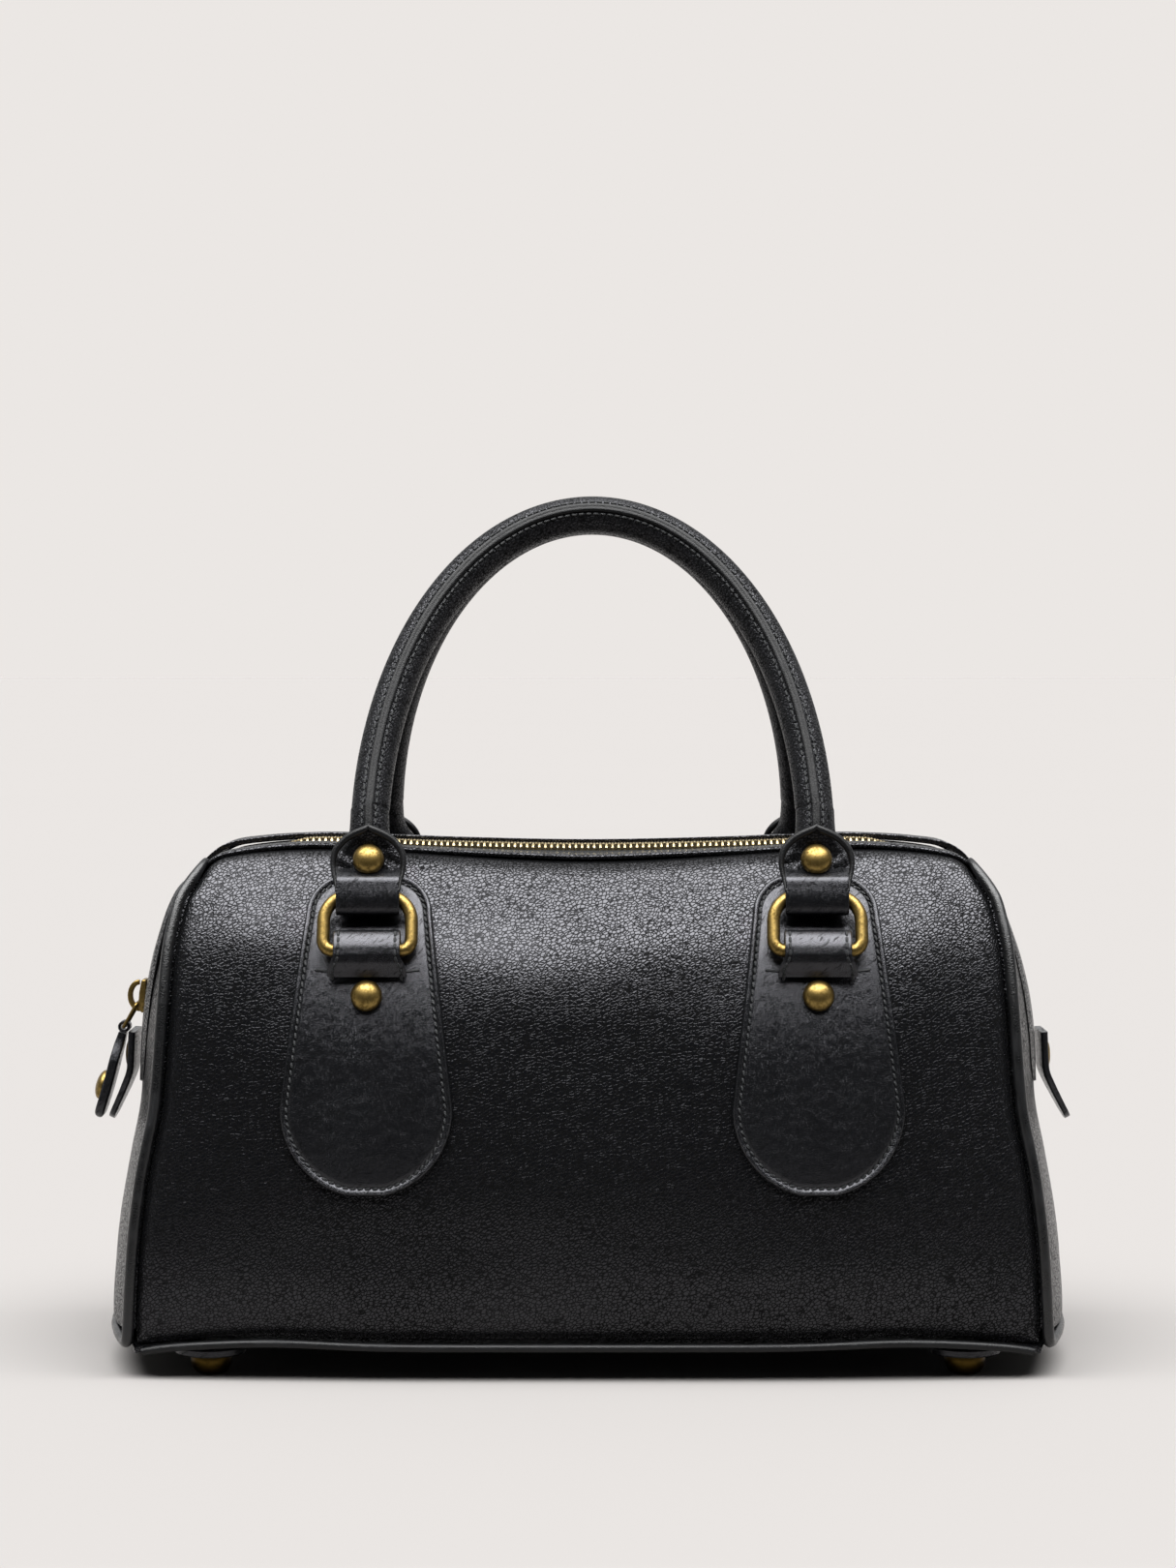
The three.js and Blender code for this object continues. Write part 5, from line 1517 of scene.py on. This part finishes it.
def handle_seam_shape(shift):
    """The raised seam along the front of the tube."""
    wide, rise = HANDLE_SEAM_HALF * HANDLE_SEAM["wide"], HANDLE_RIDGE * HANDLE_SEAM["rise"]
    return loft(on_tube(shift, np.concatenate([-wide, wide[::-1]]), np.concatenate([rise, rise[::-1]])))


def handle_stitches(shift):
    """A row of stitches down each side of the raised seam."""
    rows = []
    for side in (-1, 1):
        beside = side * np.array([HANDLE_SEAM_HALF + HANDLE_STITCH_OUT])
        path = on_tube(shift, beside, STITCH_LIFT["handle"])[:, 0]
        above = on_tube(shift, beside, 1.0)[:, 0] - path
        rows.append(stitches(path, unit(above)))
    return joined(*rows)


def lip_shape(shift, sign, side):
    """One rolled lip of a cup."""
    path = smooth_path(points(LIP_ROUTE["wide"] * side, LIP_ROUTE["front"], LIP_ROUTE["up"]), 70)
    part = np.linspace(0, 1, len(path))
    radius = LIP_RADIUS * mix(1.0, 0.5, ease(part, 0.35, 1.0)) * mix(0.75, 1.0, ease(part, 0, 0.1))
    across, front, up = path.T
    line = off_hinge(HANDLE_AXES, shift + sign * STATION_X + across, front, up)
    return wire(line, HANDLE_FRONT, radius, 14)


def tab_shape(shift, sign):
    """The flat end of the handle, swelling out below the stud and turned under the ring's upper bar."""
    under = np.linspace(0, -np.pi, 12)
    deep = TAB_FOLD_TOP - TAB_FOLD_LOW
    fold = np.stack([TAB_FOLD_HALF * np.cos(under), TAB_FOLD_TOP + deep * np.sin(under)], -1)
    swell = np.stack(list(TAB_SWELL.values()), -1)
    line = smooth_path(np.concatenate([swell, fold, swell[::-1] * (-1, 1)]), 110)
    path = off_hinge(HANDLE_AXES, shift + sign * STATION_X, *line.T)
    half_wide = TAB_WIDE / 2 + TAB_FLARE * ease(line[:, 1], *TAB_FLARE_AT)
    return strap(path, X_AXIS, STRAP_WALL / 2, half_wide)


def ring_shape(shift, sign):
    across, up = frame_path(RING_WIDE, RING_HIGH, RING_LOW_CORNER, RING_TOP_CORNER).T
    path = off_hinge(HANDLE_AXES, shift + sign * STATION_X + across, 0 * up, up)
    return wire(path, HANDLE_FRONT, RING_WIRE / 2, 22, ring=True)


class SATCHEL_OT_handles(bpy.types.Operator):
    """Rolled handles with their seams, lips, tabs, rings and studs"""

    bl_idname = "satchel.handles"
    bl_label = "Handles"

    def execute(self, context):
        neck = row_at(NECK, place_where(lambda place: row_at(NECK, place)["up"], np.array(HANDLE_STUD_UP)))
        stud_front = neck["half_deep"] - neck["back"] - HANDLE_STUD_SUNK
        for half in HALVES:
            depth, shift, turn = half["depth"], half["shift"], half["turn"]
            body = f"{depth}_handle"
            cover(f"handle_{depth}", handle_shape(shift), "handle", turn, body)
            tabs = joined(*(tab_shape(shift, sign) for sign in (-1, 1)))
            piece(f"handle_{depth}_tabs", moved(tabs, turn), "smooth", body)
            lips = [lip_shape(shift, sign, side) for sign in (-1, 1) for side in (-1, 1)]
            seam = joined(handle_seam_shape(shift), *lips)
            piece(f"handle_{depth}_seam", moved(seam, turn), "ridge", body)
            sew(f"handle_{depth}", handle_stitches(shift), turn, body)
            for name, sign, _ in stations([half]):
                cover(f"ring_{name}", ring_shape(shift, sign), "brass", turn, body)
                centre = off_hinge(HANDLE_AXES, shift + sign * STATION_X, stud_front, HANDLE_STUD_UP)
                stud = stud_shape(centre, HANDLE_FRONT, post=HANDLE_STUD_POST)
                cover(f"handle_stud_{name}", stud, "brass", turn, body)
        return {"FINISHED"}


class SATCHEL_OT_patch_studs(bpy.types.Operator):
    """Brass studs on the patches"""

    bl_idname = "satchel.patch_studs"
    bl_label = "Patch Studs"

    def execute(self, context):
        for name, sign, half in stations():
            point, normal = front_at(sign * STATION_X + half["shift"], PATCH_STUD_HEIGHT)
            stud = stud_shape(point + normal * (SEAT + PATCH_WALL + PATCH_STUD_LIFT), normal)
            cover(f"patch_stud_{name}", stud, "brass", half["turn"])
        return {"FINISHED"}


# Feet


def foot_profile():
    """A dome foot with a small flat to stand on."""
    angle = np.radians(np.linspace(0, 84, 14))
    rise = FOOT_DOME * FOOT_HIGH
    profile = [(0, 0), (FOOT_FLAT, 0)]
    profile += [(mix(FOOT_FLAT, FOOT_RADIUS, math.sin(a)), rise * (1 - math.cos(a))) for a in angle[1:]]
    return profile + [(0.99 * FOOT_RADIUS, 0.9 * FOOT_HIGH), (0.93 * FOOT_RADIUS, FOOT_HIGH), (0, FOOT_HIGH)]


def washer_profile():
    """A leather disc with rounded edges."""
    low, high = FOOT_HIGH, BASE_LOW - WASHER_GAP
    flat = WASHER_RADIUS - WASHER_SOFT
    profile = [(0, low), (flat, low), (WASHER_RADIUS, low + WASHER_SOFT)]
    return profile + [(WASHER_RADIUS, high - WASHER_SOFT), (flat, high), (0, high)]


class SATCHEL_OT_feet(bpy.types.Operator):
    """Dome feet under leather washers"""

    bl_idname = "satchel.feet"
    bl_label = "Feet"

    def execute(self, context):
        for name, sign, half in stations():
            centre = np.array([sign * FOOT_X, -FOOT_Y, 0])
            cover(f"foot_{name}", turned(foot_profile(), centre, Z_AXIS), "foot", half["turn"])
            washer = turned(washer_profile(), centre, Z_AXIS, 56)
            cover(f"foot_washer_{name}", washer, "smooth", half["turn"])
        return {"FINISHED"}


# Stage

CAMERA_PLACE = (0.0, -1.330, 0.246)
CAMERA_DOWN = math.radians(2.06)
CAMERA_LENS, CAMERA_SENSOR = 86.67, 36.0
FLOOR_HALF, FLOOR_FRONT = 30.0, -0.36
# The studio's light, as levels against the backdrop: a softbox overhead and in front, less light overhead
# at the rear, the lit backdrop, pale sides, and a dark room in front
SOFTBOX, OVERHEAD_REAR, BACKDROP_LEVEL, SIDE_LEVEL, ROOM_LEVEL = 12.5, 1.0, 0.6, 0.24, 0.035
SOFTBOX_LOW, SOFTBOX_HIGH = 0.67, 0.77
SOFTBOX_REAR, BACKDROP_RISE, SIDE_RISE = (-0.15, 0.25), (0.1, 0.7), (0.3, 0.9)
# What falls on the floor from all of it, so that the floor comes out as bright as the backdrop
FLOOR_LIGHT = 3.66


def studio_light(scene):
    """A soft studio: light from overhead and from the backdrop, dark in front of the bag."""
    world = bpy.data.worlds.new("studio")
    world.use_nodes = True
    scene.world = world
    nodes = Nodes(world.node_tree)
    aim = nodes.add("ShaderNodeTexCoord", output="Generated")
    x, y, z = (nodes.add("ShaderNodeSeparateXYZ", None, {0: aim}, name) for name in "XYZ")
    overhead = nodes.rise(z, SOFTBOX_LOW, SOFTBOX_HIGH)
    rear = nodes.rise(y, *SOFTBOX_REAR)
    behind = nodes.rise(y, *BACKDROP_RISE)
    beside = nodes.rise(x * x, *SIDE_RISE)
    box = SOFTBOX + (OVERHEAD_REAR - SOFTBOX) * rear
    room = ROOM_LEVEL + behind * BACKDROP_LEVEL + beside * SIDE_LEVEL
    level = overhead * box + (1 - overhead) * room
    white = nodes.add("ShaderNodeBackground", None, {"Color": (1, 1, 1, 1), "Strength": level})
    backdrop = opaque(scene.satchel_colours.backdrop)
    plain = nodes.add("ShaderNodeBackground", None, {"Color": backdrop, "Strength": 1.0})
    seen = nodes.add("ShaderNodeLightPath", output="Is Camera Ray")
    both = nodes.add("ShaderNodeMixShader", None, {0: seen, 1: white, 2: plain})
    nodes.add("ShaderNodeOutputWorld", None, {"Surface": both})


class SATCHEL_OT_stage(bpy.types.Operator):
    """Floor, studio light and camera"""

    bl_idname = "satchel.stage"
    bl_label = "Stage"

    def execute(self, context):
        scene = context.scene
        mesh = bpy.data.meshes.new("floor")
        corners = [(-FLOOR_HALF, FLOOR_FRONT, 0), (FLOOR_HALF, FLOOR_FRONT, 0)]
        corners += [(FLOOR_HALF, FLOOR_HALF, 0), (-FLOOR_HALF, FLOOR_HALF, 0)]
        mesh.from_pydata(corners, [], [(0, 1, 2, 3)])
        mesh.materials.append(finish("floor"))
        floor = bpy.data.objects.new("floor", mesh)
        scene.collection.objects.link(floor)
        studio_light(scene)
        lens = bpy.data.cameras.new("camera")
        lens.sensor_width = CAMERA_SENSOR
        lens.lens = CAMERA_LENS
        camera = bpy.data.objects.new("camera", lens)
        camera.location = CAMERA_PLACE
        camera.rotation_euler = (math.pi / 2 - CAMERA_DOWN, 0, 0)
        scene.collection.objects.link(camera)
        scene.camera = camera
        scene.view_settings.view_transform = "Standard"
        return {"FINISHED"}


OPERATORS = (
    SATCHEL_OT_walls,
    SATCHEL_OT_seams,
    SATCHEL_OT_zip,
    SATCHEL_OT_zip_pull,
    SATCHEL_OT_patches,
    SATCHEL_OT_patch_studs,
    SATCHEL_OT_handles,
    SATCHEL_OT_feet,
    SATCHEL_OT_stage,
)


class SATCHEL_PT_panel(bpy.types.Panel):
    """The satchel's pieces, sizes and colours"""

    bl_idname = "SATCHEL_PT_panel"
    bl_label = "Satchel"
    bl_space_type = "VIEW_3D"
    bl_region_type = "UI"
    bl_category = "Satchel"

    def draw(self, context):
        for group in (context.scene.satchel_sizes, context.scene.satchel_colours):
            for name in group.__annotations__:
                self.layout.prop(group, name)
        for operator in OPERATORS:
            self.layout.operator(operator.bl_idname)


CLASSES = (SatchelSizes, SatchelColours, *OPERATORS, SATCHEL_PT_panel)


def register():
    for made in CLASSES:
        bpy.utils.register_class(made)
    bpy.types.Scene.satchel_sizes = bpy.props.PointerProperty(type=SatchelSizes)
    bpy.types.Scene.satchel_colours = bpy.props.PointerProperty(type=SatchelColours)


def unregister():
    del bpy.types.Scene.satchel_colours
    del bpy.types.Scene.satchel_sizes
    for made in reversed(CLASSES):
        bpy.utils.unregister_class(made)


def main():
    register()
    for operator in OPERATORS:
        group, name = operator.bl_idname.split(".")
        getattr(getattr(bpy.ops, group), name)()


if __name__ == "__main__":
    main()
